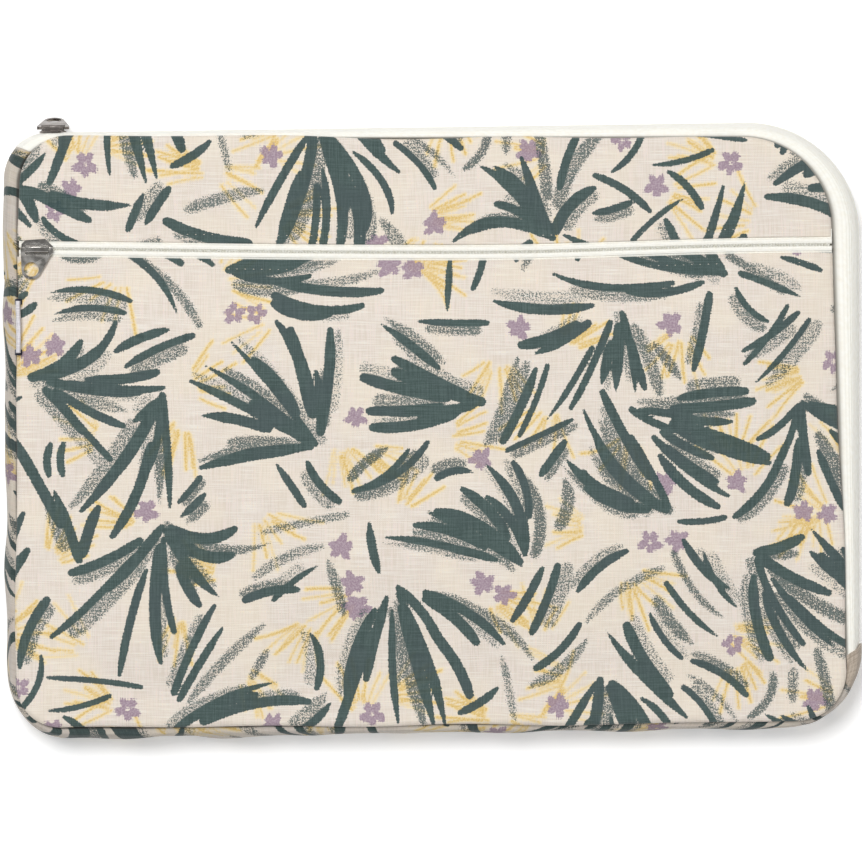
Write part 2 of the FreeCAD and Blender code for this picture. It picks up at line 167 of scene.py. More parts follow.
def corner_arcs(corners, radii, offset=0.0):
    """For each round corner of a clockwise outline moved out by offset: centre, start, end, radius."""
    arcs = []
    for i in range(4):
        before = corners[i] - corners[i - 1]
        after = corners[(i + 1) % 4] - corners[i]
        before, after = before / np.linalg.norm(before), after / np.linalg.norm(after)
        out = np.array([-before[1], before[0]])
        bisector = out + np.array([-after[1], after[0]])
        bisector /= np.linalg.norm(bisector)
        tip = corners[i] + bisector * offset / bisector.dot(out)
        radius = radii[i] + offset
        half_turn = math.acos(before.dot(after)) / 2
        cut = radius * math.tan(half_turn)
        centre = tip - bisector * radius / math.cos(half_turn)
        arcs.append((centre, tip - before * cut, tip + after * cut, radius))
    return arcs


def outline(corners, radii, offset=0.0, arc_points=48, side_points=260):
    """Points round a rounded outline, clockwise from the middle of the upper left corner.
    Every outline has the same number of points on each arc and each side, so two can be joined."""
    arcs = corner_arcs(corners, radii, offset)
    runs = []
    for i, (centre, start, end, radius) in enumerate(arcs):
        a0 = math.atan2(*(start - centre)[::-1])
        a1 = math.atan2(*(end - centre)[::-1])
        a1 = a1 if a1 < a0 else a1 - 2 * math.pi
        angle = np.linspace(a0, a1, arc_points + 1)
        runs.append(centre + radius * np.stack([np.cos(angle), np.sin(angle)], 1)[:-1])
        following = arcs[(i + 1) % 4][1]
        t = np.linspace(0, 1, side_points + 1)[:-1, None]
        runs.append(end + (following - end) * t)
    return np.roll(np.concatenate(runs), -(arc_points // 2), axis=0)


def inside(x, y, corners, radii):
    """How far each point is inside a rounded outline: its distance from the nearest side or arc."""
    depth = np.full(np.shape(x), 1e9)
    for i in range(4):
        a, b = corners[i], corners[(i + 1) % 4]
        along = (b - a) / np.linalg.norm(b - a)
        depth = np.minimum(depth, (x - a[0]) * along[1] - (y - a[1]) * along[0])
    for i, (centre, start, end, radius) in enumerate(corner_arcs(corners, radii)):
        before, after = corners[i] - start, corners[i] - end
        dx, dy = x - centre[0], y - centre[1]
        in_corner = (dx * before[0] + dy * before[1] > 0) & (dx * after[0] + dy * after[1] > 0)
        depth = np.where(in_corner, np.minimum(depth, radius - np.hypot(dx, dy)), depth)
    return depth


def resample(line, places):
    """Points at given shares of a polyline's length."""
    steps = travelled(line)
    return np.stack([np.interp(places * steps[-1], steps, line[:, k]) for k in range(line.shape[1])], 1)


def patch(bottom, top, left, right):
    """A surface between four border lines: each point adds what the two pairs of borders say and takes
    away what the four corners say, so that the grid meets every border."""
    u = np.linspace(0, 1, len(bottom))[None, :, None]
    v = np.linspace(0, 1, len(left))[:, None, None]
    between = bottom[None] * (1 - v) + top[None] * v + left[:, None] * (1 - u) + right[:, None] * u
    corners = (bottom[0] * (1 - u) * (1 - v) + bottom[-1] * u * (1 - v)
               + top[0] * (1 - u) * v + top[-1] * u * v)
    return between - corners


def zip_line(x, y):
    """The pocket zip's height on the front at x, for a line that is level at y: it sags in the middle
    and is pulled up towards the right."""
    half = (PANEL_HIGH[0] - PANEL_LOW[0]) / 2
    sag = ZIP_SAG * smooth(0, 1, 1 - np.abs(x / half)) ** 0.7
    return y + ZIP_LIFT - sag + ZIP_RISE * smooth(20, 135, x)


def half_outline(corners, radii, cuts, upper):
    """The left, far and right borders of the part of an outline above or below a cut, which is at one
    height on the left and another on the right."""
    ring = outline(corners, radii)
    side = len(ring) // 4
    left_run = np.r_[ring[3 * side:], ring[:1]]
    right_run = ring[side:2 * side + 1]
    left_cut = np.array([np.interp(cuts[0], left_run[:, 1], left_run[:, 0]), cuts[0]])
    right_cut = np.array([np.interp(-cuts[1], -right_run[:, 1], right_run[:, 0]), cuts[1]])
    away = 1 if upper else -1
    left_part = left_run[left_run[:, 1] * away > cuts[0] * away]
    right_part = right_run[right_run[:, 1] * away > cuts[1] * away]
    far = ring[:side + 1] if upper else ring[2 * side:3 * side + 1][::-1]
    return np.r_[[left_cut], left_part[::away]], far, np.r_[[right_cut], right_part[::-away]]


def whole_patch(corners, radii, step, fine):
    """A grid of places that fills a whole outline: the patch between its four sides."""
    upper, lower = (half_outline(corners, radii, (0.0, 0.0), part) for part in (True, False))
    u = knots(upper[1][-1, 0] - upper[1][0, 0], step, fine)
    v = knots(upper[1][:, 1].max() - lower[1][:, 1].min(), step, fine)
    left = resample(np.r_[lower[0][::-1], upper[0][1:]], v)
    right = resample(np.r_[lower[2][::-1], upper[2][1:]], v)
    return patch(resample(lower[1], u), resample(upper[1], u), left, right)


# --- meshes ---

def grid_faces(rows, columns, close_u=False):
    """Four-cornered faces between the neighbours on a grid; close_u joins its last column to its first."""
    index = np.arange(rows * columns).reshape(rows, columns)
    if close_u:
        index = np.c_[index, index[:, :1]]
    return np.stack([index[:-1, :-1], index[:-1, 1:], index[1:, 1:], index[1:, :-1]], -1).reshape(-1, 4)


def surface(name, points, material, close_u=False, flip=False):
    """A piece from a grid of points, rows by columns, in millimetres."""
    quads = grid_faces(*points.shape[:2], close_u)
    return piece(name, points.reshape(-1, 3), quads[:, ::-1] if flip else quads, material)


def piece(name, points, faces, material):
    """A mesh object from points in millimetres and an array of faces with equal numbers of corners."""
    mesh = bpy.data.meshes.new(name)
    corners = faces.shape[1]
    mesh.vertices.add(len(points))
    mesh.vertices.foreach_set("co", (points * MM).astype(np.float32).ravel())
    mesh.loops.add(faces.size)
    mesh.loops.foreach_set("vertex_index", faces.astype(np.int32).ravel())
    mesh.polygons.add(len(faces))
    mesh.polygons.foreach_set("loop_start", np.arange(0, faces.size, corners, dtype=np.int32))
    mesh.update(calc_edges=True)
    mesh.validate()
    mesh.polygons.foreach_set("use_smooth", np.ones(len(mesh.polygons), bool))
    mesh.materials.append(material)
    made = bpy.data.objects.new(name, mesh)
    bpy.context.scene.collection.objects.link(made)
    return made


def give(made, name, values):
    """Stores one number, or three, per point on a piece."""
    kind = "FLOAT" if values.ndim == 1 else "FLOAT_VECTOR"
    attribute = made.data.attributes.new(name, kind, "POINT")
    attribute.data.foreach_set("value" if kind == "FLOAT" else "vector", values.astype(np.float32).ravel())


def thicken(made, thickness, offset=-1.0):
    """Gives a sheet its cloth thickness, in millimetres."""
    solid = made.modifiers.new("thickness", "SOLIDIFY")
    solid.thickness = thickness * MM
    solid.offset = offset
    return made


def joined(shapes):
    """Points and faces of several (points, faces) shapes as one."""
    points, faces, base = [], [], 0
    for p, f in shapes:
        points.append(p)
        faces.append(f + base)
        base += len(p)
    return np.concatenate(points), np.concatenate(faces)


# --- the print: an all-over pattern that repeats in both directions ---

REPEAT = np.array([366.0, 262.0])
TUFTS = 29
SPRAYS = 62
BLOSSOM_GROUPS = 32
CLEAR_OF_OTHERS = 1.9      # how near a stroke may come to earlier ones
ALL_DRY = 0.16             # share of strokes that are dry all over
SHADED = 0.62              # share that are dry, or have a dry band
FAR = 9.0                  # a distance that is clear of any ink


def heading_vector(angle):
    """The unit vector at an angle."""
    return np.array([math.cos(angle), math.sin(angle)])


def stroke_line(start, heading, length, bend, points=13):
    """A brush stroke's middle line: it sets off along heading and turns by bend along its length."""
    t = np.linspace(0, 1, points)
    angle = heading + bend * t ** 1.2
    step = np.stack([np.cos(angle), np.sin(angle)], 1) * length / (points - 1)
    return start + np.r_[[[0, 0]], np.cumsum(step[1:], axis=0)]


def stroke_width(points, width, root, tip):
    """Half widths along a stroke: nearly even, narrower towards its root and its tip by how blunt each
    is, from 0, pointed, to 1, square."""
    t = np.linspace(0, 1, points)
    return width / 2 * np.clip(t / 0.3 + root, 0, 1) ** 0.7 * np.clip((1 - t) / 0.36 + tip, 0, 1) ** 0.7


def from_span(x, y, start, end):
    """Distance from a straight span, the share along it that is nearest, and 1 or -1 for its two sides."""
    ax, ay = start
    dx, dy = end - start
    t = np.clip(((x - ax) * dx + (y - ay) * dy) / (dx * dx + dy * dy), 0, 1)
    side = np.where((x - ax) * dy - (y - ay) * dx < 0, -1.0, 1.0)
    return np.hypot(x - ax - t * dx, y - ay - t * dy), t, side


def from_stroke(x, y, line, half_width):
    """Signed distance from a stroke's edge, in millimetres: the least over its spans of the distance from
    the span less the half width there."""
    best = np.full(x.shape, 1e9)
    for i in range(len(line) - 1):
        away, t, _ = from_span(x, y, line[i], line[i + 1])
        best = np.minimum(best, away - half_width[i] * (1 - t) - half_width[i + 1] * t)
    return best


def from_ray(x, y, line):
    """Signed distance from a ray's middle line: that of its nearest span, positive on its right."""
    nearest = np.full(x.shape, 1e9)
    for start, end in zip(line[:-1], line[1:]):
        away, _, side = from_span(x, y, start, end)
        nearest = np.where(away < np.abs(nearest), away * side, nearest)
    return nearest


class Page:
    """A coarse map of the repeat that records how far each place is from the ink so far."""

    def __init__(self, pitch=1.5):
        self.pitch = pitch
        self.shape = tuple((REPEAT / pitch).astype(int))
        self.x, self.y = np.meshgrid(*[(np.arange(n) + 0.5) * pitch for n in self.shape], indexing="ij")
        self.field = np.full(self.shape, 60.0)

    def at(self, points):
        """The clear distance at each point."""
        i, j = (np.floor(points / self.pitch).astype(int) % self.shape).T
        return self.field[i, j]

    def ink(self, strokes):
        """Lowers the clear distances round some strokes, wherever they repeat."""
        for stroke in strokes:
            line, half = stroke[:2]
            middle = line.mean(0)
            x, y = ((place - centre + size / 2) % size + centre - size / 2
                    for place, centre, size in zip((self.x, self.y), middle, REPEAT))
            near = (np.abs(x - middle[0]) < 60) & (np.abs(y - middle[1]) < 60)
            self.field[near] = np.minimum(self.field[near], from_stroke(x[near], y[near], line, half))

    def emptiest(self, places):
        """The one of several places that is furthest from any ink."""
        return places[self.at(places).argmax()]


def spread_points(rng, count, tries=24):
    """Points spread evenly over the repeat: each is the loneliest of a few random ones."""
    chosen = [rng.uniform(0, 1, 2) * REPEAT]
    for _ in range(count - 1):
        candidates = rng.uniform(0, 1, (tries, 2)) * REPEAT
        gap = np.abs(candidates[:, None] - np.array(chosen)[None])
        gap = np.linalg.norm(np.minimum(gap, REPEAT - gap), axis=2).min(1)
        chosen.append(candidates[gap.argmax()])
    return np.array(chosen)


def trimmed(page, line, shortest):
    """The stroke's line up to where it would run into ink that is already there, or None."""
    clear = page.at(line) > CLEAR_OF_OTHERS
    reach = len(line) if clear.all() else int(np.argmin(clear))
    length = np.linalg.norm(np.diff(line[:reach], axis=0), axis=1).sum() if reach > 2 else 0
    return line[:reach] if length > shortest else None


def brush(rng, page, strokes, start, direction, length, bend, width, shade_side):
    """Adds a stroke to (solid, dry) lists: it is solid, solid with a dry band beside it, or dry all over."""
    line = trimmed(page, stroke_line(start, direction, length, bend), 12)
    if line is None:
        return
    solid, dry = strokes
    half = stroke_width(len(line), width, rng.uniform(0.2, 0.9), rng.uniform(0.0, 0.75))
    kind = rng.uniform()
    side = np.array([-math.sin(direction), math.cos(direction)]) * shade_side
    if kind < ALL_DRY:
        dry.append((line, half * 1.5, rng.uniform(0.6, 0.85)))
        return
    solid.append((line, half))
    if kind < SHADED:
        band = rng.uniform(1.6, 3.5)
        first = int(rng.integers(0, max(len(line) // 3, 1)))
        shift = side * (width * 0.35 + band * rng.uniform(0.55, 0.95))
        part = slice(first, len(line) - int(rng.integers(0, 3)))
        dry.append((line[part] + shift, half[part] / (width / 2) * band + 0.3, rng.uniform(0.45, 0.75)))


def tuft(rng, page, base, heading, count, reach, spread, curl):
    """A fan of strokes about one root, which start at different distances from it."""
    strokes = ([], [])
    shade_side = rng.choice([-1, 1])
    sweep = rng.normal(0, 0.5)
    for i in range(count):
        lean = (i / max(count - 1, 1) - 0.5) * 2 + rng.normal(0, 0.07)
        direction = heading - sweep / 2 + lean * spread
        start = base + heading_vector(direction) * rng.uniform(0, 1) ** 1.3 * 24
        length = reach * rng.uniform(0.5, 1.05) * (1 - 0.15 * abs(lean))
        bend = sweep + lean * curl + rng.normal(0, 0.13)
        brush(rng, page, strokes, start, direction, length, bend, rng.uniform(2.9, 4.9), shade_side)
    return strokes


def row(rng, page, base, heading, count, reach):
    """A few short strokes side by side."""
    strokes = ([], [])
    bend = rng.normal(0, 0.65)
    for i in range(count):
        across = heading_vector(heading + math.pi / 2) * (i - (count - 1) / 2) * rng.uniform(4.8, 6.5)
        start = base + across + heading_vector(heading) * rng.uniform(-6, 6)
        direction = heading + rng.normal(0, 0.12)
        length = reach * rng.uniform(0.6, 1.1)
        brush(rng, page, strokes, start, direction, length, bend, rng.uniform(2.5, 3.9), 1)
    return strokes


def spray(rng, base, heading, count, spread):
    """Pale rays that fan out from a small gap at their root: (line, strength) for each."""
    rays = []
    for i in range(count):
        direction = heading + ((i + 0.5) / count - 0.5) * 2 * spread + rng.normal(0, 0.05)
        start = base + heading_vector(direction) * rng.uniform(6, 10)
        line = stroke_line(start, direction, rng.uniform(10, 19), rng.normal(0, 0.15), 5)
        rays.append((line, rng.uniform(0.6, 1.0)))
    return rays


def design_print(seed=41):
    """Draws the whole repeat: tufts of dark strokes, rows of short ones in the gaps, pale sprays and
    blossoms."""
    rng = np.random.default_rng(seed)
    page = Page()
    solid, dry = [], []

    def keep(made):
        """Adds (solid, dry) strokes to the print and to the page."""
        page.ink(made[0])
        page.ink(made[1])
        solid.extend(made[0])
        dry.extend(made[1])

    for base in spread_points(rng, TUFTS):
        keep(tuft(rng, page, base, rng.uniform(0, 2 * math.pi), rng.integers(9, 14), rng.uniform(40, 62),
                  rng.uniform(0.5, 1.1), rng.uniform(-0.7, 0.9)))
    for _ in range(90):
        base = page.emptiest(rng.uniform(0, 1, (60, 2)) * REPEAT)
        clearance = page.at(base[None])[0]
        if clearance < 6.2:
            break
        heading = rng.uniform(0, 2 * math.pi)
        reach = min(clearance * rng.uniform(2.2, 3.6), 38)
        keep(row(rng, page, base - heading_vector(heading) * reach / 2, heading, rng.integers(1, 4), reach))
    rays = []
    for base in spread_points(rng, SPRAYS, 40):
        base = page.emptiest(base + rng.uniform(-18, 18, (20, 2)))
        rays += spray(rng, base, rng.uniform(0, 2 * math.pi), rng.integers(6, 10), rng.uniform(0.45, 0.95))
    blossoms = []
    for base in spread_points(rng, BLOSSOM_GROUPS, 40):
        centre = page.emptiest(base + rng.uniform(-18, 18, (40, 2)))
        for _ in range(rng.integers(1, 4)):
            if page.at(centre[None])[0] > 0.8:
                hole = rng.choice([-9.0, -9.0, 0.75])
                blossoms.append((centre, rng.uniform(4.5, 5.5), rng.uniform(0, 2 * math.pi), hole))
            centre = centre + rng.uniform(9.0, 11.5) * heading_vector(rng.uniform(0, 2 * math.pi))
    return {"solid": solid, "dry": dry, "rays": rays, "blossoms": blossoms}


PRINT = design_print()


def copies(x, y, low, high):
    """Every whole-repeat shift of a mark's box that meets the points, with the points it touches."""
    shifts = [range(math.floor((v.min() - last) / size), math.ceil((v.max() - first) / size) + 1)
              for v, first, last, size in zip((x, y), low, high, REPEAT)]
    for i in shifts[0]:
        for j in shifts[1]:
            sx, sy = i * REPEAT[0], j * REPEAT[1]
            within_x = (x > low[0] + sx) & (x < high[0] + sx)
            near = np.flatnonzero(within_x & (y > low[1] + sy) & (y < high[1] + sy))
            if len(near):
                yield near, x[near] - sx, y[near] - sy


def print_on(made, x, y):
    """Stores the print on a piece: x and y are each point's place on the flat cloth, in millimetres.
    Solid ink and blossoms are signed distances from their edges; dry ink and rays are cover, 0 to 1; a
    ray also has the signed distance from its middle line."""
    x, y = np.ravel(x), np.ravel(y)
    green, mauve, ray_side = (np.full(x.shape, FAR) for _ in range(3))
    dry, rays = np.zeros(x.shape), np.zeros(x.shape)
    for line, half in PRINT["solid"]:
        reach = half.max() + 2
        for near, px, py in copies(x, y, line.min(0) - reach, line.max(0) + reach):
            green[near] = np.minimum(green[near], from_stroke(px, py, line, half))
    for line, half, cover in PRINT["dry"]:
        reach = half.max() + 1
        for near, px, py in copies(x, y, line.min(0) - reach, line.max(0) + reach):
            edge = from_stroke(px, py, line, half)
            dry[near] = np.maximum(dry[near], cover * smooth(0.6, -1.1, edge))
    for line, strength in PRINT["rays"]:
        for near, px, py in copies(x, y, line.min(0) - 2.5, line.max(0) + 2.5):
            signed = from_ray(px, py, line)
            closer = np.abs(signed) < np.abs(ray_side[near])
            ray_side[near[closer]] = signed[closer]
            rays[near] = np.maximum(rays[near], strength * smooth(1.8, 0.2, np.abs(signed)))
    for centre, radius, turn, hole in PRINT["blossoms"]:
        for near, px, py in copies(x, y, centre - radius - 3, centre + radius + 3):
            dx, dy = px - centre[0], py - centre[1]
            angle, away = np.arctan2(dy, dx) + turn, np.hypot(dx, dy)
            petals = 0.4 + 0.58 * np.abs(np.cos(2.5 * angle)) ** 0.6
            petals = radius * (petals + 0.09 * np.sin(3 * angle + 7 * turn) + 0.06 * np.sin(8 * angle))
            mauve[near] = np.minimum(mauve[near], np.maximum(away - petals, hole - away))
    for name, values in (("ink_solid", green), ("ink_dry", dry), ("ink_rays", rays), ("ray_side", ray_side),
                         ("ink_blossom", mauve)):
        give(made, name, values)
    lay_cloth(made, x, y)


def lay_cloth(made, x, y):
    """Stores each point's place on plain flat cloth, in millimetres, for the weave."""
    x, y = np.ravel(x), np.ravel(y)
    give(made, "cloth", np.stack([x, y, np.zeros(x.shape)], 1))


# --- materials ---

def srgb(r, g, b):
    """A colour written as 0 to 255, as the linear values that a shader takes."""
    c = np.array([r, g, b]) / 255
    return tuple(np.where(c <= 0.04045, c / 12.92, ((c + 0.055) / 1.055) ** 2.4)) + (1.0,)


class Finish:
    """One material's node tree, with short calls for the nodes it is made of."""

    def __init__(self, name, roughness, metallic=0.0, sheen=0.0, specular=0.5):
        self.material = bpy.data.materials.new(name)
        self.material.use_nodes = True
        self.tree = self.material.node_tree
        self.shader = self.tree.nodes["Principled BSDF"]
        for socket, value in (("Roughness", roughness), ("Metallic", metallic), ("Sheen Weight", sheen),
                              ("Specular IOR Level", specular)):
            self.shader.inputs[socket].default_value = value

    def put(self, socket, value):
        """Links a node's output to a socket, or sets a plain value on it."""
        if isinstance(value, bpy.types.NodeSocket):
            self.tree.links.new(value, socket)
        else:
            socket.default_value = value

    def node(self, kind, inputs=(), output=0, **settings):
        """Adds a node with its inputs and settings, and returns one of its outputs."""
        made = self.tree.nodes.new(kind)
        for key, value in settings.items():
            setattr(made, key, value)
        for key, value in dict(inputs).items():
            self.put(made.inputs[key], value)
        return made.outputs[output]

    def calc(self, operation, a, b=0.0, c=0.0):
        """One sum on up to three values."""
        return self.node("ShaderNodeMath", {0: a, 1: b, 2: c}, operation=operation)

    def push(self, value, texture, middle, amount):
        """value moved up or down by how far a texture is from its middle."""
        return self.calc("MULTIPLY_ADD", self.calc("SUBTRACT", texture, middle), amount, value)

    def step(self, value, low, high):
        """0 at low, 1 at high, and an S-shaped rise between them."""
        return self.node("ShaderNodeMapRange", {0: value, 1: low, 2: high, 3: 0.0, 4: 1.0},
                         interpolation_type="SMOOTHSTEP")

    def mix(self, share, a, b):
        """Colour a, passing to colour b as share goes from 0 to 1."""
        return self.node("ShaderNodeMix", {0: share, 6: a, 7: b}, output=2, data_type="RGBA")

    def stain(self, colour, mask, strength, tint):
        """A colour stained with a tint, as far as a mask times a strength."""
        return self.mix(self.calc("MULTIPLY", mask, strength), colour, tint)

    def stored(self, name, output=2):
        """An attribute of the piece: its number, or its vector with output 1."""
        return self.node("ShaderNodeAttribute", output=output, attribute_name=name)

    def scaled(self, vector, x, y, z=1.0):
        """A place multiplied along each axis."""
        return self.node("ShaderNodeMapping", {0: vector, 3: (x, y, z)})

    def noise(self, vector, scale=1.0, detail=2.0, roughness=0.5):
        """Soft noise from 0 to 1, about 0.5 on average."""
        return self.node("ShaderNodeTexNoise", {"Vector": vector, "Scale": scale, "Detail": detail,
                                                "Roughness": roughness})

    def bump(self, height, strength, distance):
        """Tilts the shading as if height, times a distance in metres, stood up from the surface."""
        normal = self.node("ShaderNodeBump", {"Height": height, "Strength": strength, "Distance": distance})
        self.put(self.shader.inputs["Normal"], normal)

    def colour(self, value):
        """Sets the base colour."""
        self.put(self.shader.inputs["Base Color"], value)

    def wave(self, place, pitch):
        """A wave from -1 to 1 that repeats once in each pitch."""
        return self.calc("SINE", self.calc("MULTIPLY", place, 2 * math.pi / pitch))

    def weave(self, cloth, pitch):
        """Threads both ways, each about 0.5 on average: long streaks across and along, whose thickness
        varies, then both added up, and the over-and-under of each crossing, from -1 to 1."""
        across = self.noise(self.scaled(cloth, 0.07 / pitch, 1.7 / pitch), detail=0.0)
        along = self.noise(self.scaled(cloth, 1.7 / pitch, 0.07 / pitch), detail=0.0)
        split = self.node("ShaderNodeSeparateXYZ", {0: cloth}).node
        waves = [self.wave(place, pitch) for place in split.outputs[:2]]
        return across, along, self.calc("ADD", across, along), self.calc("MULTIPLY", *waves)


SEAM_PAINTED_SHADE = 0.75        # how much darker painted shade makes cloth deep in a seam


def printed_cloth(name, painted_shade_factor):
    """Cream linen-like cloth: thin threads, dark ink that skips on dry strokes, chalky rays, blossoms; all
    its colours are darkened by a factor as painted shade, and painted shade darkens it deep in the seams.
    """
    def dye(r, g, b):
        """A colour of this cloth, made darker by the painted shade factor."""
        return srgb(r * painted_shade_factor, g * painted_shade_factor, b * painted_shade_factor)

    f = Finish(name, 0.88, sheen=0.12, specular=0.2)
    cloth = f.stored("cloth", 1)
    across, along, threads, crossing = f.weave(cloth, 0.8)
    grain = f.noise(f.scaled(cloth, 1.35, 1.35), detail=1.5, roughness=0.6)
    fine = f.noise(f.scaled(cloth, 2.4, 2.4), roughness=0.6)
    broad = f.noise(f.scaled(cloth, 0.035, 0.035))
    # ground: warm white, threads a little pinker one way and yellower the other
    ground = f.mix(f.step(threads, 0.6, 1.4), dye(222, 210, 197), dye(235, 228, 219))
    ground = f.stain(ground, f.step(along, 0.5, 0.75), 0.45, dye(232, 213, 208))
    ground = f.stain(ground, f.step(across, 0.58, 0.8), 0.4, dye(240, 237, 229))
    ground = f.stain(ground, f.step(broad, 0.4, 0.65), 0.35, dye(241, 229, 206))
    # rays: an ochre line in a pale wash, both caught on the threads
    wash = f.push(f.push(f.stored("ink_rays"), grain, 0.5, 0.9), threads, 1.0, 0.6)
    colour = f.stain(ground, f.step(wash, 0.05, 0.9), 0.9, dye(243, 222, 172))
    core = f.push(f.push(f.calc("ABSOLUTE", f.stored("ray_side")), grain, 0.5, -1.3), threads, 1.0, -0.5)
    core = f.calc("MULTIPLY", f.step(core, 0.95, 0.0), f.step(f.stored("ink_rays"), 0.45, 0.85))
    patchy = f.calc("MULTIPLY_ADD", f.step(grain, 0.3, 0.7), 0.45, 0.45)
    colour = f.stain(colour, core, patchy, dye(216, 180, 98))
    # blossoms
    ragged = f.push(f.push(f.stored("ink_blossom"), threads, 1.0, 1.6), grain, 0.5, 1.8)
    petal = f.mix(f.step(grain, 0.3, 0.75), dye(146, 122, 140), dye(182, 164, 176))
    colour = f.stain(colour, f.step(ragged, 0.3, -0.3), 0.92, petal)
    # dark ink: solid strokes with a slightly broken edge, and dry ones that miss the low threads
    edge = f.push(f.push(f.stored("ink_solid"), grain, 0.5, 1.1), threads, 1.0, 0.3)
    cover = f.stored("ink_dry")
    speckle = f.push(f.push(fine, grain, 0.5, 0.8), threads, 1.0, 0.25)
    dry = f.calc("ADD", speckle, f.calc("MULTIPLY", cover, 0.5))
    dry = f.calc("MULTIPLY", f.step(dry, 0.745, 0.815), f.step(cover, 0.02, 0.12))
    inked = f.calc("MAXIMUM", f.step(edge, 0.14, -0.14), f.calc("MULTIPLY", dry, 0.92))
    dark = f.mix(f.step(f.push(threads, grain, 0.5, 0.8), 0.5, 1.6), dye(54, 75, 74), dye(80, 100, 98))
    dark = f.stain(dark, f.step(broad, 0.45, 0.65), 0.4, dye(66, 80, 86))
    colour = f.stain(colour, inked, 0.97, dark)
    # painted shade: cloth deep in a seam is darkened towards a dark brown-grey
    f.colour(f.stain(colour, f.stored("painted_seam_shade"), SEAM_PAINTED_SHADE, dye(62, 58, 54)))
    f.bump(f.calc("MULTIPLY_ADD", crossing, 0.3, threads), 0.45, 0.00025)
    return f.material


def plain_cloth(name, low, high, pitch, sheen=0.1):
    """Undyed or dyed plain-woven cloth between two shades."""
    f = Finish(name, 0.9, sheen=sheen, specular=0.2)
    _, _, threads, crossing = f.weave(f.stored("cloth", 1), pitch)
    f.colour(f.mix(f.step(threads, 0.75, 1.25), low, high))
    f.bump(f.calc("MULTIPLY_ADD", crossing, 0.3, threads), 0.5, 0.0002)
    return f.material


def zip_tape():
    """Ivory woven tape with fine ribs along its length."""
    f = Finish("zip_tape", 0.6, sheen=0.15, specular=0.3)
    cloth = f.stored("cloth", 1)
    split = f.node("ShaderNodeSeparateXYZ", {0: cloth}).node
    pick, rib = f.wave(split.outputs[0], 0.5), f.wave(split.outputs[1], 0.7)
    cloudy = f.noise(f.scaled(cloth, 0.5, 1.0))
    shade = f.calc("MULTIPLY_ADD", rib, 0.05, f.calc("MULTIPLY_ADD", pick, 0.03, cloudy))
    ivory = f.mix(f.step(shade, 0.2, 0.8), srgb(250, 247, 236), srgb(255, 254, 247))
    # painted shade: tape deep in a seam is darkened towards a dark grey-brown
    f.colour(f.stain(ivory, f.stored("painted_seam_shade"), SEAM_PAINTED_SHADE, srgb(96, 90, 80)))
    f.bump(f.calc("MULTIPLY_ADD", pick, 0.25, rib), 0.5, 0.0001)
    return f.material


def nylon(name, low, high, roughness):
    """Moulded or spun nylon with slight unevenness."""
    f = Finish(name, roughness, specular=0.45)
    cloudy = f.noise(f.node("ShaderNodeTexCoord", output=3), 900.0)
    f.colour(f.mix(f.step(cloudy, 0.35, 0.65), low, high))
    f.bump(cloudy, 0.2, 0.00008)
    return f.material


def metal(name, low, high, roughness):
    """Plated metal: faint polishing marks and cloudy wear change its shade and its polish."""
    f = Finish(name, roughness, metallic=1.0)
    place = f.node("ShaderNodeTexCoord", output=3)
    cloudy = f.noise(place, 210.0, 1.0)
    marks = f.noise(f.scaled(place, 500.0, 3000.0, 3000.0), detail=1.0)
    f.colour(f.mix(f.step(cloudy, 0.3, 0.7), low, high))
    smoothest, roughest = roughness * 0.8, roughness * 1.25
    polish = f.node("ShaderNodeMapRange", {0: cloudy, 1: 0.3, 2: 0.7, 3: smoothest, 4: roughest})
    f.put(f.shader.inputs["Roughness"], polish)
    f.bump(f.calc("MULTIPLY_ADD", cloudy, 180.0, marks), 0.5, 0.000005)
    return f.material


CLOTH = printed_cloth("printed_cloth", 1.0)
# the side wall's copy of the print, darkened all over as painted shade for the light it misses
SHADED_WALL_CLOTH = printed_cloth("wall_cloth_painted_shade", 0.86)
LINING = plain_cloth("lining_cloth", srgb(206, 196, 174), srgb(232, 224, 206), 0.6)
BACKING = plain_cloth("pocket_backing_cloth", srgb(206, 196, 174), srgb(228, 218, 198), 0.6)
BINDING = plain_cloth("binding_tape", srgb(216, 208, 188), srgb(240, 234, 218), 0.5)
# painted shade: the end tab's cream cloth is coloured tan-grey as if it lay in shade
TAB_CLOTH_PAINTED_SHADE = plain_cloth("end_tab_cloth", srgb(164, 151, 137), srgb(196, 183, 168), 0.45)
LABEL = plain_cloth("label", srgb(212, 208, 212), srgb(240, 237, 239), 0.35, 0.25)
THREAD = nylon("seam_thread", srgb(222, 212, 196), srgb(244, 236, 224), 0.7)
NAVY_THREAD = nylon("navy_thread", srgb(24, 28, 44), srgb(44, 48, 66), 0.7)
TAPE = zip_tape()
COIL = nylon("zip_coil", srgb(232, 230, 216), srgb(250, 249, 242), 0.4)
BRIGHT = metal("bright_nickel", srgb(206, 202, 196), srgb(232, 229, 223), 0.18)
DARK = metal("dark_nickel", srgb(116, 110, 106), srgb(158, 151, 146), 0.22)
STEEL = metal("spring_steel", srgb(150, 150, 150), srgb(190, 190, 190), 0.3)


# --- padding: how far the stuffed front stands up ---

LAST_STEP = 20             # steps of the cloth simulation
FURTHEST_MOVE = 6.0        # how far it may move any point along an axis


def coordinates(mesh):
    """A mesh's points as an array, in millimetres."""
    flat = np.zeros(len(mesh.vertices) * 3)
    mesh.vertices.foreach_get("co", flat)
    return flat.reshape(-1, 3) / MM


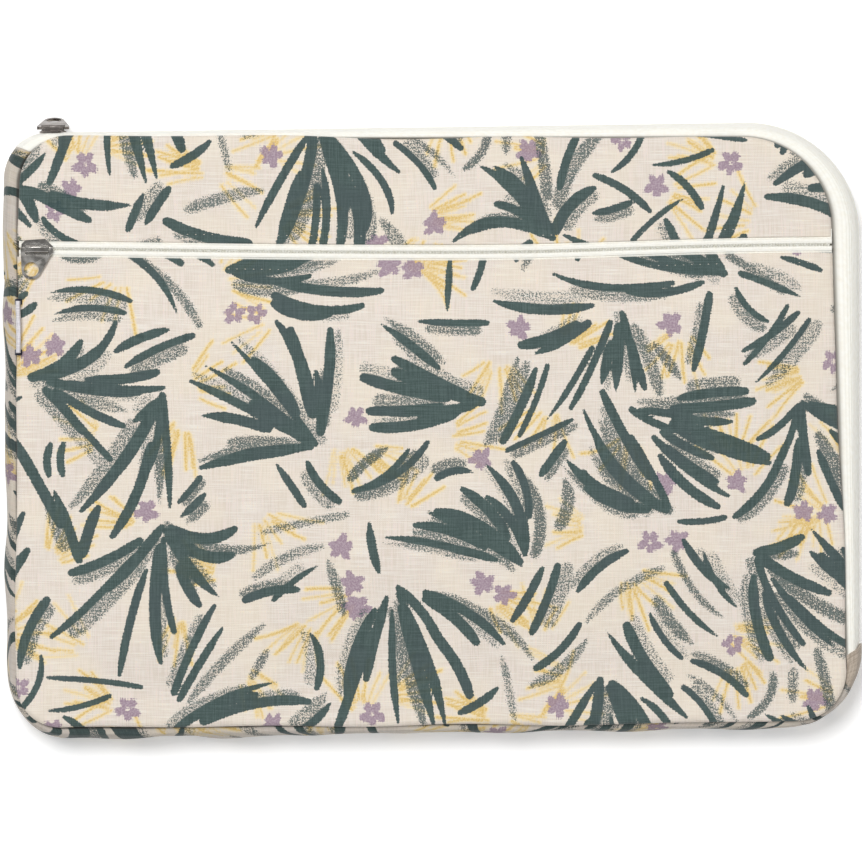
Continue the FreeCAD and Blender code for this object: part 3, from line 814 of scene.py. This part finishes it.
def padding_height():
    """Heights of a pad blown up slightly by a cloth simulation, as a function of x and y.
    Returns (x places, y places, heights): 0 at the pad's edge and positive inside."""
    xs = np.linspace(PANEL_LOW[0], PANEL_HIGH[0], 35)
    ys = np.linspace(PANEL_LOW[1], PANEL_HIGH[1], 25)
    gx, gy = np.meshgrid(xs, ys, indexing="ij")
    inset = 3.0
    loop = outline(BACK_CORNERS, BACK_RADII, -inset, 16, 40)
    levels = np.array([8.0, 12.0, FRONT_SEAM_Z])
    rings = [np.c_[loop, np.full(len(loop), z)] for z in levels]
    hubs = [np.c_[loop * 0.0, np.full(len(loop), z)] for z in levels[[0, -1]]]
    pad = surface("padding_trial", np.array([hubs[0], *rings, hubs[1]]), COIL, close_u=True, flip=True)
    remesh = pad.modifiers.new("remesh", "REMESH")
    remesh.mode = "VOXEL"
    remesh.voxel_size = 5 * MM
    bpy.context.view_layer.objects.active = pad
    depsgraph = bpy.context.evaluated_depsgraph_get()
    mesh = bpy.data.meshes.new_from_object(pad.evaluated_get(depsgraph))
    pad.modifiers.clear()
    pad.data = mesh
    co = coordinates(mesh)
    held = pad.vertex_groups.new(name="held")
    edge = inside(co[:, 0], co[:, 1], BACK_CORNERS, BACK_RADII)
    rim = np.flatnonzero((edge < inset + 4) | (co[:, 2] < FRONT_SEAM_Z - 6))
    held.add(rim.tolist(), 1.0, "REPLACE")
    cloth = pad.modifiers.new("cloth", "CLOTH")
    cloth.settings.use_pressure = True
    cloth.settings.uniform_pressure_force = 4.0
    cloth.settings.effector_weights.gravity = 0.0
    cloth.settings.vertex_group_mass = "held"
    cloth.settings.quality = 4
    scene = bpy.context.scene
    for n in range(1, LAST_STEP + 1):
        scene.frame_set(n)
    blown = pad.evaluated_get(bpy.context.evaluated_depsgraph_get()).to_mesh()
    moved = np.clip(coordinates(blown) - co, -FURTHEST_MOVE, FURTHEST_MOVE)
    tree = BVHTree.FromPolygons((co + moved).tolist(), [p.vertices[:] for p in blown.polygons])
    heights = np.zeros(gx.shape)
    for i in range(len(xs)):
        for j in range(len(ys)):
            hit = tree.ray_cast(Vector((gx[i, j], gy[i, j], 100.0)), Vector((0, 0, -1)))[0]
            heights[i, j] = max(hit.z - FRONT_SEAM_Z, 0.0) if hit else 0.0
    scene.frame_set(1)
    bpy.data.objects.remove(pad)
    return xs, ys, heights


PAD_X, PAD_Y, PAD_HEIGHT = padding_height()


def padding(x, y):
    """The pad's height at any points, smoothly interpolated: a weighted mean of its places nearby."""
    fx = np.clip((x - PAD_X[0]) / (PAD_X[1] - PAD_X[0]), 0, len(PAD_X) - 1.001)
    fy = np.clip((y - PAD_Y[0]) / (PAD_Y[1] - PAD_Y[0]), 0, len(PAD_Y) - 1.001)
    total, weight = np.zeros(np.shape(x)), np.zeros(np.shape(x))
    for di in (-1, 0, 1, 2):
        for dj in (-1, 0, 1, 2):
            i = np.clip(np.floor(fx).astype(int) + di, 0, len(PAD_X) - 1)
            j = np.clip(np.floor(fy).astype(int) + dj, 0, len(PAD_Y) - 1)
            w = np.exp(-1.1 * ((fx - i) ** 2 + (fy - j) ** 2))
            total += w * PAD_HEIGHT[i, j]
            weight += w
    return total / weight


# --- front and back ---

def rolled(edge):
    """How far cloth has risen from its seam, 0 to 1, at a distance in from it: a quarter circle."""
    return np.sqrt(1 - (1 - np.clip(edge / ROLL, 0, 1)) ** 2)


def front_height(x, y):
    """Height of the front cloth: it rolls up from the seam, stands up with the padding away from the
    edges and the pocket zip, and has shallow waves, and puckers close to the seam."""
    edge = np.clip(inside(x, y, FRONT_CORNERS, FRONT_RADII), 0, None)
    calm = smooth(5, 34, np.abs(y - zip_line(x, POCKET_ZIP_Y)))
    stuffed = padding(x, y) * smooth(1, 30, edge) * calm * 0.75
    waves = 0.22 * ripple(x, y, 46, 5) * smooth(0, 22, edge) * (0.35 + 0.65 * calm)
    puckers = 0.16 * ripple(x, y, 13, 6) * np.exp(-edge / 9) * smooth(0, 3, edge)
    return FRONT_SEAM_Z + (FRONT_Z - FRONT_SEAM_Z) * rolled(edge) + stuffed + waves + puckers


def wavy(x, y):
    """Small in-plane drift that keeps a cloth edge from being ruler straight."""
    return 0.35 * ripple(x, y, 60, 8), 0.35 * ripple(x, y, 60, 9)


def with_skirt(grid, rows):
    """Adds rows of points beyond a grid's last row: each is (share of the way inwards, drop)."""
    inward = unit(grid[-3, :, :2] - grid[-1, :, :2])
    added = [np.c_[grid[-1, :, :2] + inward * push, grid[-1, :, 2] - drop] for push, drop in rows]
    return np.concatenate([grid, np.array(added)], 0)


def skirted(grid, edge_rows, fold_rows):
    """Turns a patch's left, right and far edges down to the seam, and its near edge under the fold."""
    grid = with_skirt(grid, edge_rows)
    grid = with_skirt(grid[::-1], fold_rows)[::-1]
    grid = with_skirt(grid.transpose(1, 0, 2), edge_rows)
    grid = with_skirt(grid[::-1], edge_rows)[::-1]
    return grid.transpose(1, 0, 2)


EDGE_ROWS = ((0.15, 0.5), (0.35, 1.4), (0.5, 3.6))
BACK_PRINT_SHIFT = (140, 71)
FOLD_ROWS = ((-0.22, 0.18), (-0.26, 0.45), (-0.05, 0.72), (0.8, 0.8), (3.0, 0.8))


def front_patch(upper):
    """The grid of the cloth above or below the pocket zip."""
    level = WINDOW_TOP if upper else WINDOW_BOTTOM
    cuts = zip_line(np.array([PANEL_LOW[0], PANEL_HIGH[0]]), level)
    left, far, right = half_outline(FRONT_CORNERS, FRONT_RADII, cuts, upper)
    width = far[-1, 0] - far[0, 0]
    height = abs(far[len(far) // 2, 1] - level)
    u = knots(width, CLOTH_STEP, 0.4)
    v = knots(height, CLOTH_STEP, 0.4)
    near_x = left[0, 0] + (right[0, 0] - left[0, 0]) * u
    near = np.stack([near_x, zip_line(near_x, level)], 1)
    near[0], near[-1] = left[0], right[0]
    far, left, right = resample(far, u), resample(left, v), resample(right, v)
    grid = patch(near, far, left, right)
    return np.dstack([grid, front_height(grid[..., 0], grid[..., 1])])


def front_piece(name, upper, print_shift):
    """The printed cloth above or below the pocket zip, with its folded edge along the zip."""
    grid = front_patch(upper)
    flat = skirted(np.dstack([grid[..., :2], np.zeros(grid.shape[:2])]), EDGE_ROWS, FOLD_ROWS)
    grid = skirted(grid, EDGE_ROWS, FOLD_ROWS)
    drift_x, drift_y = wavy(grid[..., 0], grid[..., 1])
    fade = smooth(0, 12, np.abs(grid[..., 1] - zip_line(grid[..., 0], POCKET_ZIP_Y)) - 3)
    drift = np.dstack([drift_x * fade, drift_y * fade, drift_x * 0])
    made = surface(name, grid + drift, CLOTH, flip=not upper)
    print_on(made, flat[..., 0] + print_shift[0], flat[..., 1] + print_shift[1])
    return made


def back_piece():
    """The printed back: flat where it rests, rolled up to the seam at its edge."""
    grid = whole_patch(BACK_CORNERS, BACK_RADII, 1.25, 0.5)
    edge = np.clip(inside(grid[..., 0], grid[..., 1], BACK_CORNERS, BACK_RADII), 0, None)
    z = BACK_SEAM_Z * (1 - rolled(edge))
    grid = np.dstack([grid, z])
    raised = [(push, -drop) for push, drop in EDGE_ROWS]
    flat = skirted(np.dstack([grid[..., :2], z * 0]), raised, raised)
    grid = skirted(grid, raised, raised)
    made = surface("back_panel", grid, CLOTH, flip=True)
    print_on(made, BACK_PRINT_SHIFT[0] - flat[..., 0], flat[..., 1] + BACK_PRINT_SHIFT[1])
    return made


def bend_at_fold(made):
    """Bakes a piece of the front's placement into its mesh."""
    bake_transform(made)


# --- side wall ---

BULGE_POWER = 2.0
TUCK_DEPTH = 2.5                # height over which the wall turns in under the front's edge
TUCK_IN = 0.7
TUCK_DOWN = 1.2
DEEPEST_DENT = 0.33            # keeps the wall clear of the lining behind it


def wall_bulge(z):
    """How much of the bulge there is at a height: none at the seams, all at half depth."""
    return (1 - np.abs((z - MIDDLE_Z) / HALF_DEPTH) ** BULGE_POWER).clip(0, 1) ** (1 / BULGE_POWER)


def wall_ring(inset):
    """Matching points round the front seam, the wall at half depth and the back seam."""
    return (outline(FRONT_CORNERS, FRONT_RADII, 0.1 - inset), outline(WALL_CORNERS, WALL_RADII, -inset),
            outline(BACK_CORNERS, BACK_RADII, 0.1 - inset))


def wall_grid(places, z, inset=0.0):
    """A band of the side wall: places are indices round the ring and z the heights of its rows. Its top
    turns in and down a little, so that the front's edge stands over it."""
    front, middle, back = (ring[places % len(ring)] for ring in wall_ring(inset))
    share = ((z - BACK_SEAM_Z) / (FRONT_SEAM_Z - BACK_SEAM_Z))[:, None, None]
    seam = back[None] * (1 - share) + front[None] * share
    bulge = wall_bulge(z)[:, None, None]
    xy = seam + (middle[None] - seam) * bulge
    tuck = smooth(FRONT_SEAM_Z - TUCK_DEPTH, FRONT_SEAM_Z, z)[:, None]
    outwards = unit(middle - wall_ring(inset + 1.0)[1][places % len(RING)])
    xy = xy - outwards[None] * tuck[..., None] * TUCK_IN
    return np.dstack([xy, np.broadcast_to(z[:, None] - TUCK_DOWN * tuck, xy.shape[:2])])


def outward(grid, places, z, inset=0.0):
    """The way out of the wall at each point of a band: from the same band 2 mm further in."""
    return unit(grid[..., :2] - wall_grid(places, z, inset + 2.0)[..., :2])


RING = outline(WALL_CORNERS, WALL_RADII)
COUNT = len(RING)
SIDE = COUNT // 4
RIGHT_RUN = RING[SIDE:2 * SIDE]
LEFT_RUN = RING[3 * SIDE:]
ZIP_STOP = SIDE + int(np.argmin(np.abs(RIGHT_RUN[:, 1] - ZIP_END_Y)))
SPLIT_Y = 63.5
LEFT_SPLIT = 3 * SIDE + int(np.argmin(np.abs(LEFT_RUN[:, 1] - SPLIT_Y)))


def painted_seam_shade(made, z, count):
    """Stores how deep in a seam each row of a wall piece lies, where painted shade darkens its cloth."""
    depth = smooth(0.26, 0.1, wall_bulge(z))
    give(made, "painted_seam_shade", np.repeat(depth, count))


def run_length(places):
    """Distance along the wall at each place of a run round it."""
    return travelled(RING[places % COUNT])


def wall_rows(low, high, step):
    """Heights between two levels, closer together near the seams where the wall turns in."""
    swing = np.linspace(math.asin((low - MIDDLE_Z) / HALF_DEPTH), math.asin((high - MIDDLE_Z) / HALF_DEPTH),
                        int((high - low) / step))
    return MIDDLE_Z + HALF_DEPTH * np.sin(swing)


def gusset_piece(name, first, last, shift):
    """A run of the printed side wall, soft and a little uneven."""
    places = np.arange(first, last + 1)
    z = wall_rows(BACK_SEAM_Z, FRONT_SEAM_Z, 0.8)
    grid = wall_grid(places, z)
    along, up = np.meshgrid(run_length(places), z)
    uneven = 0.5 * ripple(along, up, 32, 12)
    give_in = np.logaddexp(0, (uneven + DEEPEST_DENT) * 6) / 6 - DEEPEST_DENT
    grid[..., :2] += outward(grid, places, z) * (give_in * wall_bulge(z)[:, None])[..., None]
    made = surface(name, grid, SHADED_WALL_CLOTH, flip=True)
    print_on(made, shift[0] + along, shift[1] + 1.2 * up)
    painted_seam_shade(made, z, len(places))
    thicken(made, 0.6)
    return made, along[0, -1]


def along_wall(name, z, first, last, material, inset=0.0, thickness=0.5, shape=None, taper=0.0):
    """A plain band of the side wall between two places; shape adds to how far it stands out by row, and
    taper is how far that falls by its last place."""
    places = np.arange(first, last + 1)
    grid = wall_grid(places, z, inset)
    if shape is not None:
        fall = taper * smooth(0.15, 1.0, np.linspace(0, 1, len(places)))
        grid[..., :2] += outward(grid, places, z, inset) * (shape[:, None] - fall[None])[..., None]
    made = surface(name, grid, material, flip=True)
    length = run_length(places)
    lay_cloth(made, *np.meshgrid(length, z))
    painted_seam_shade(made, z, len(places))
    thicken(made, thickness)
    return made, length[-1]


# --- trims: tubes, coils, stitches, tapes ---

def ring_about(across, above, turn):
    """A ring of unit vectors for each point of a path, which turn from across towards above."""
    return across[:, None] * np.cos(turn)[None, :, None] + above[:, None] * np.sin(turn)[None, :, None]


def tube(path, radius, sides=6, up=(0, 0, 1)):
    """Points and faces of a round thread carried along a path: at each point a ring turns about the
    path's direction; its ends close to a point."""
    along = unit(np.gradient(path, axis=0))
    across = unit(np.cross(along, np.broadcast_to(np.array(up, float), path.shape)))
    above = np.cross(across, along)
    turn = np.linspace(0, 2 * math.pi, sides, endpoint=False)
    size = np.full(len(path), float(radius)) if np.isscalar(radius) else radius
    points = (path[:, None] + ring_about(across, above, turn) * size[:, None, None]).reshape(-1, 3)
    points[:sides] = path[0]
    points[-sides:] = path[-1]
    return points, np.roll(grid_faces(len(path), sides, True)[:, ::-1], 1, axis=1)


def coil(name, path, out, up, half_width, half_height, flip, phase=0.0, wire=0.3, turn_points=10):
    """A zip's coil: a square-sided wire that winds round a path once for each tooth."""
    run = travelled(path)
    count = int(run[-1] / TOOTH_PITCH * turn_points)
    s = np.linspace(0, run[-1], count)
    centre, out, up = (np.stack([np.interp(s, run, v[:, k]) for k in range(3)], 1) for v in (path, out, up))
    angle = 2 * math.pi * (s / TOOTH_PITCH + phase)
    outwards, upwards = half_height * np.sin(angle), half_width * np.cos(angle)
    wire_path = centre + out * outwards[:, None] + up * upwards[:, None]
    inwards = unit(centre - wire_path)
    along = unit(np.gradient(wire_path, axis=0))
    across = unit(np.cross(along, inwards))
    turn = np.linspace(0, 2 * math.pi, 4, endpoint=False) + math.pi / 4
    made = surface(name, wire_path[:, None] + ring_about(across, inwards, turn) * wire, COIL, True, flip)
    return made


def stitches(name, line, spacing, length, material, sink=0.1, radius=0.15):
    """A run of sewn stitches along a line: short threads, thickest in the middle and sunk at each end."""
    run = travelled(line)
    starts = np.arange(spacing / 2, run[-1] - length, spacing)
    t = np.array([0, 0.12, 0.5, 0.88, 1.0])
    s = starts[:, None] + t[None] * length
    path = np.stack([np.interp(s, run, line[:, k]) for k in range(3)], -1)
    path[..., 2] -= sink + np.array([0.35, 0.08, 0, 0.08, 0.35])
    sizes = radius * np.array([0.4, 0.9, 1.0, 0.9, 0.4])
    return piece(name, *joined([tube(p, sizes) for p in path]), material)


def ring_binding(name, corners, radii, low, high):
    """Tape folded round the seam allowance inside: a flat U carried round the outline, open at the wall."""
    turn = np.linspace(-math.pi / 2, math.pi / 2, 7)
    inset = np.r_[1.0, 3.5, 6.2 + 1.2 * np.cos(turn), 3.5, 1.0]
    rise = (high - low) / 2 - 0.12
    z = (low + high) / 2 + rise * np.r_[-1, -1, np.sin(turn), 1, 1]
    rings = np.array([outline(corners, radii, -i, 12, 60) for i in inset])
    grid = np.dstack([rings, np.broadcast_to(z[:, None], rings.shape[:2])])
    made = surface(name, grid, BINDING, close_u=True)
    profile = travelled(np.c_[inset, z])
    steps = travelled(rings[0])
    lay_cloth(made, *np.meshgrid(steps, profile))
    thicken(made, 0.2, 0.0)
    return made


def lining_piece(name, corners, radii, z, rim, material, inset=0.9):
    """A lining cut to the outline, laid at z, with its edge turned up or down by rim at the wall."""
    shrunk = np.array([tip + unit(corners.mean(0) - tip) * inset * 1.4 for tip in corners])
    xy = whole_patch(shrunk, radii, 4.0, 0.8)
    edge = inside(xy[..., 0], xy[..., 1], shrunk, radii)
    soft = 0.15 * ripple(xy[..., 0], xy[..., 1], 30, 21) * smooth(2, 14, edge)
    grid = np.dstack([xy, z + rim * np.exp(-np.clip(edge, 0, None) / 0.6) + soft])
    made = surface(name, grid, material, flip=rim < 0)
    lay_cloth(made, xy[..., 0], xy[..., 1])
    thicken(made, 0.4, 0.0)
    return made


def settle(made, body, *solids):
    """Attaches a piece to the root body when body is "root", and otherwise bakes its placement into its mesh.
    The body is "root", "fold" for cloth of the front, or a side for a run of the wall from the upper left
    corner: 1 next to the front, -1 next to the back and 0 between them. Hides the plain solids it stands for."""
    if body == "root":
        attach(made, "root")
    elif body == "fold":
        bend_at_fold(made)
    else:
        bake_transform(made)
    if solids:
        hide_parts(*solids)


# --- build: front, back and wall ---

STRIP_PRINT_SHIFT = (118.0, 37.0)
WALL_PRINT_SHIFT = (20.0, 150.0)
settle(front_piece("front_top_strip_cloth", True, STRIP_PRINT_SHIFT), "fold",
       "front_top_strip", "front_foam_pad_free")
settle(front_piece("pocket_panel_cloth", False, (0.0, 0.0)), "fold",
       "pocket_panel_fixed", "pocket_panel_free", "front_foam_pad_fixed")
settle(back_piece(), "root", "back_outer_panel", "back_foam_pad")

WALL_RUNS = (("side", ZIP_STOP, LEFT_SPLIT, "root"), ("corner", LEFT_SPLIT, COUNT, 0))
print_x, print_y = WALL_PRINT_SHIFT
for part, first, last, body in WALL_RUNS:
    made, length = gusset_piece(part + "_gusset_cloth", first, last, (print_x, print_y))
    print_x += length
    settle(made, body, *(["gusset_outer"] if part == "side" else []))

lining_rows = wall_rows(BACK_SEAM_Z + 1.5, FRONT_SEAM_Z - 1.5, 1.6)
for part, first, last, body in WALL_RUNS:
    name = part + "_lining_cloth"
    made, length = along_wall(name, lining_rows, first, last, LINING, inset=1.0, thickness=0.3)
    settle(made, body, *(["gusset_lining"] if part == "side" else []))

# --- build: linings and bindings ---

BACK_EDGE = (BACK_CORNERS, BACK_RADII)
FRONT_EDGE = (FRONT_CORNERS, FRONT_RADII)
settle(lining_piece("back_lining_cloth", *BACK_EDGE, LINING_LOW_Z - 0.2, -1.2, LINING), "root", "back_lining")
settle(lining_piece("front_lining_cloth", *FRONT_EDGE, LINING_HIGH_Z + 0.2, 1.4, LINING), "fold",
       "front_lining_fixed", "front_lining_free")
settle(lining_piece("pocket_backing_cloth", *FRONT_EDGE, POCKET_BACK_Z, 0.3, BACKING, 1.6), "fold",
       "pocket_backing_fixed", "pocket_backing_free")
settle(ring_binding("back_seam_binding_tape", *BACK_EDGE, *BACK_BINDING_Z), "root", "back_seam_binding")
settle(ring_binding("front_seam_binding_tape", *FRONT_EDGE, *FRONT_BINDING_Z), "fold",
       "front_seam_binding_fixed", "front_seam_binding_free")

# --- build: the zip round the opening ---

TAPE_GAP = 0.32
for half, side, low, high, body in (("front", 1, MIDDLE_Z + TAPE_GAP, FRONT_SEAM_Z, "cover"),
                                    ("back", -1, BACK_SEAM_Z, MIDDLE_Z - TAPE_GAP, "root")):
    ridge_rows = MIDDLE_Z + side * np.array([0.6, 1.0, 1.8, 2.6, 3.0, 3.3, 3.6])
    z = np.unique(np.r_[wall_rows(low, high, 0.7), ridge_rows])
    from_middle = np.abs(z - MIDDLE_Z)
    over_coil = 0.35 * np.exp(-((from_middle - 1.9) / 1.1) ** 2)
    ridge = over_coil - 0.28 * np.exp(-((from_middle - 3.5) / 0.35) ** 2)
    name = f"main_zip_{half}_tape"
    tape, tape_length = along_wall(name + "_cloth", z, 0, ZIP_STOP, TAPE, shape=ridge, thickness=0.4)
    settle(tape, side, name)
    places = np.arange(0, ZIP_STOP - 2)
    level = MIDDLE_Z + side * 1.05
    centre = wall_grid(places, np.array([level]), 1.25)[0]
    out = unit(wall_grid(places, np.array([level]), 0.25)[0] - centre)
    up = np.broadcast_to([0.0, 0.0, side], centre.shape)
    name = f"main_zip_{half}_coil"
    settle(coil(name + "_wire", centre, out, up, 1.25, 0.62, side < 0), side, name)

# --- build: the pocket's zip ---

def seam_x(y, right):
    """Where the front's seam crosses a level, on the left or the right."""
    ring = outline(FRONT_CORNERS, FRONT_RADII)
    side = len(ring) // 4
    run = ring[side:2 * side][::-1] if right else ring[3 * side:]
    return np.interp(y, run[:, 1], run[:, 0])


ZIP_LEFT = seam_x(POCKET_ZIP_Y, False) + 0.8
ZIP_RIGHT = seam_x(POCKET_ZIP_Y, True) - 0.3


def pocket_tape(name, side):
    """Half of the pocket's zip seen from the front: a flat tape that rises over the coil in a rounded
    ridge, which is notched once for each tooth at both its edges."""
    count = int((ZIP_RIGHT - ZIP_LEFT) / TOOTH_PITCH * 6)
    x = np.linspace(ZIP_LEFT, ZIP_RIGHT, count)
    away = np.array([0.4, 0.44, 0.62, 0.9, 1.2, 1.6, 2.0, 2.35, 2.6, 2.85, 3.2, 4.0, 6.5])
    rise = np.array([-0.4, -0.05, 0.24, 0.4, 0.48, 0.5, 0.46, 0.34, 0.1, -0.2, -0.3, -0.3, -0.3])
    notch = np.array([0.0, 0.1, 0.22, 0.14, 0.04, 0.0, 0.02, 0.12, 0.2, 0.12, 0.0, 0.0, 0.0])
    tooth = 0.5 + 0.5 * np.cos(2 * math.pi * (x / TOOTH_PITCH + (0.25 if side > 0 else 0.75)))
    y = zip_line(x, POCKET_ZIP_Y)[None] + side * away[:, None]
    z = POCKET_TAPE_Z + rise[:, None] - notch[:, None] * tooth[None]
    made = surface(name, np.dstack([np.broadcast_to(x, y.shape), y, z]), TAPE, flip=side < 0)
    lay_cloth(made, *np.meshgrid(x, away))
    thicken(made, 0.35)
    return made


for half, side in (("upper", 1), ("lower", -1)):
    name = f"pocket_zip_{half}_tape"
    settle(pocket_tape(name + "_cloth", side), "fold", name)
    x = np.linspace(ZIP_LEFT + 1, ZIP_RIGHT - 1, 400)
    centre = np.stack([x, zip_line(x, POCKET_ZIP_Y) + side * 1.0, 0 * x + POCKET_TAPE_Z - 0.42], 1)
    out = np.broadcast_to([0.0, 0.0, 1.0], centre.shape)
    up = np.broadcast_to([0.0, float(side), 0.0], centre.shape)
    name = f"pocket_zip_{half}_coil"
    phase = 0.5 if side > 0 else 0.0
    settle(coil(name + "_wire", centre, out, up, 1.22, 0.48, side > 0, phase), "fold", name)

for name, level in (("pocket_fold_stitches", WINDOW_BOTTOM - 3.8), ("strip_fold_stitches", WINDOW_TOP + 3.2)):
    x = np.linspace(seam_x(level, False) + 2.5, seam_x(level, True) - 2.0, 500)
    y = zip_line(x, level)
    made = stitches(name, np.stack([x, y, front_height(x, y)], 1), 3.4, 2.5, THREAD)
    bend_at_fold(made)

# --- build: label and end tab ---

def folded_label():
    """A blank ribbon folded in half and sewn into the seam: two walls that meet in a rounded fold, a
    little wavy along the seam."""
    low, high = edges_of("label_tab")
    turn = np.linspace(0, math.pi, 9)
    thick = 0.75
    z_fold = high[2] - thick - 0.2
    x = np.r_[-0.5, -0.8, -1.0, -thick * np.cos(turn), 1.0, 0.8, 0.5]
    z = np.r_[low[2] - 0.9, low[2] + 1.2, low[2] + 3.6, z_fold + thick * np.sin(turn),
              low[2] + 3.6, low[2] + 1.2, low[2] - 0.9]
    y = np.linspace(low[1], high[1], 36)
    sway = 0.25 * np.sin((y - low[1]) / 4.6) + 0.5
    height = np.clip((z - low[2]) / (high[2] - low[2]), 0, 1)
    grid = np.empty((len(y), len(x), 3))
    centre = high[0] + 0.5
    grid[..., 0] = centre + x + sway[:, None] * height
    grid[..., 1] = y[:, None]
    grid[..., 2] = z
    made = surface("side_label_ribbon", grid, LABEL)
    profile = travelled(np.c_[x, z])
    lay_cloth(made, *np.meshgrid(profile, y))
    thicken(made, 0.22)
    middle = centre + 0.3
    arch = np.linspace(-0.5, math.pi + 0.5, 9)
    loops = []
    for end, step in ((high[1] + 0.5, -1), (low[1] - 0.5, 1)):
        for k in range(4):
            path = np.stack([middle - 1.35 * np.cos(arch), np.full(9, end + step * 0.55 * k),
                             FRONT_SEAM_Z + 0.8 + (2.6 + 0.3 * (k % 2)) * np.sin(arch)], 1)
            loops.append(tube(path, 0.36, up=(0, 1, 0)))
    tacks = piece("side_label_tacks", *joined(loops), NAVY_THREAD)
    return made, tacks


label, tacks = folded_label()
settle(label, "root", "label_tab")
settle(tacks, "root")

tab_low, tab_high = edges_of("zip_end_tab")
run = np.arange(ZIP_STOP - 6, SIDE * 2 + 60)
tab_last = int(run[np.argmin(np.abs(RING[run % COUNT][:, 1] - tab_low[1]))])
tab_z = wall_rows(BACK_SEAM_Z + 0.4, FRONT_SEAM_Z, 0.7)
puff = 0.25 + 0.9 * np.sin(np.linspace(0, math.pi, len(tab_z))) ** 0.6
end_tab, tab_length = along_wall("zip_end_tab_cloth", tab_z, ZIP_STOP - 3, tab_last, TAB_CLOTH_PAINTED_SHADE,
                                 thickness=0.6, shape=puff, taper=1.1)
settle(end_tab, "root", "zip_end_tab")

# --- build: sliders keep their own shapes ---

for node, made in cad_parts.items():
    if "slider" in node:
        made.data.materials.clear()
        made.data.materials.append(STEEL if "spring" in node else BRIGHT if "pocket" in node else DARK)
        weld = made.modifiers.new("weld", "WELD")
        weld.merge_threshold = 0.01 * MM
        bevel = made.modifiers.new("rounded_edges", "BEVEL")
        bevel.width = 0.22 * MM
        bevel.segments = 2
        bevel.limit_method = "ANGLE"
        bevel.angle_limit = math.radians(40)


# --- studio ---

OVERHEAD_SHADE = 0.3
FLOOR_HALF_SIZE = 2500.0
FLOOR_GLOW = 0.22
WORLD_STRENGTH = 0.49
CAMERA_HEIGHT = 3.0             # metres over the front
SEEN_WIDTH = 0.3543             # metres across at the front


def studio():
    """A pale floor, soft light from all round with a dim patch overhead, and a camera high above that
    looks straight down."""
    floor_points = np.array([[-1, -1, 0], [1, -1, 0], [1, 1, 0], [-1, 1, 0]]) * FLOOR_HALF_SIZE
    f = Finish("studio_floor", 0.9, specular=0.1)
    cloudy = f.noise(f.node("ShaderNodeTexCoord", output=3), 6.0)
    f.colour(f.mix(cloudy, srgb(249, 249, 249), srgb(252, 252, 252)))
    f.shader.inputs["Emission Color"].default_value = (1, 1, 1, 1)
    f.shader.inputs["Emission Strength"].default_value = FLOOR_GLOW
    floor = piece("studio_floor", floor_points - [0, 0, 0.05], np.array([[0, 1, 2, 3]]), f.material)
    floor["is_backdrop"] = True
    world = bpy.data.worlds.new("studio")
    world.use_nodes = True
    tree = world.node_tree
    background = tree.nodes["Background"]
    background.inputs[1].default_value = WORLD_STRENGTH
    direction = tree.nodes.new("ShaderNodeTexCoord")
    split = tree.nodes.new("ShaderNodeSeparateXYZ")
    ramp = tree.nodes.new("ShaderNodeValToRGB")
    # shade of the surroundings at each height, from straight down to nearly straight up
    shades = ((0.0, 0.03), (0.4, 0.3), (0.8, 1.05), (0.955, 1.05), (0.985, OVERHEAD_SHADE))
    for stop, (height, shade) in enumerate(shades):
        mark = ramp.color_ramp.elements[0] if stop == 0 else ramp.color_ramp.elements.new(height)
        mark.position = height
        mark.color = (shade, shade, shade, 1.0)
    ramp.color_ramp.elements[-1].color = (OVERHEAD_SHADE, OVERHEAD_SHADE, OVERHEAD_SHADE, 1.0)
    tree.links.new(direction.outputs[0], split.inputs[0])
    tree.links.new(split.outputs[2], ramp.inputs[0])
    tree.links.new(ramp.outputs[0], background.inputs[0])
    bpy.context.scene.world = world
    lamps = (
        ("key", (-0.5, 0.7, 2.5), 0.9, 39.0, False),
        ("fill", (1.2, -0.6, 1.7), 1.4, 5.0, True),
        ("glint", (-0.3, 0.8, 1.7), 0.5, 3.6, True),
    )
    for name, place, size, power, in_gloss in lamps:
        data = bpy.data.lights.new(name, "AREA")
        data.size = size
        data.energy = power
        lamp = bpy.data.objects.new(name, data)
        lamp.location = place
        lamp.visible_glossy = in_gloss
        lamp.rotation_euler = (Vector((0, 0, 0)) - Vector(place)).to_track_quat("-Z", "Y").to_euler()
        bpy.context.scene.collection.objects.link(lamp)
    data = bpy.data.cameras.new("camera")
    data.lens = data.sensor_width * CAMERA_HEIGHT / SEEN_WIDTH
    data.clip_end = 30.0
    camera = bpy.data.objects.new("camera", data)
    camera.location = (0.0, 0.0008, CAMERA_HEIGHT + FRONT_Z * MM)
    bpy.context.scene.collection.objects.link(camera)
    bpy.context.scene.camera = camera
    bpy.context.scene.view_settings.view_transform = "Standard"


studio()

low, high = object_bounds()
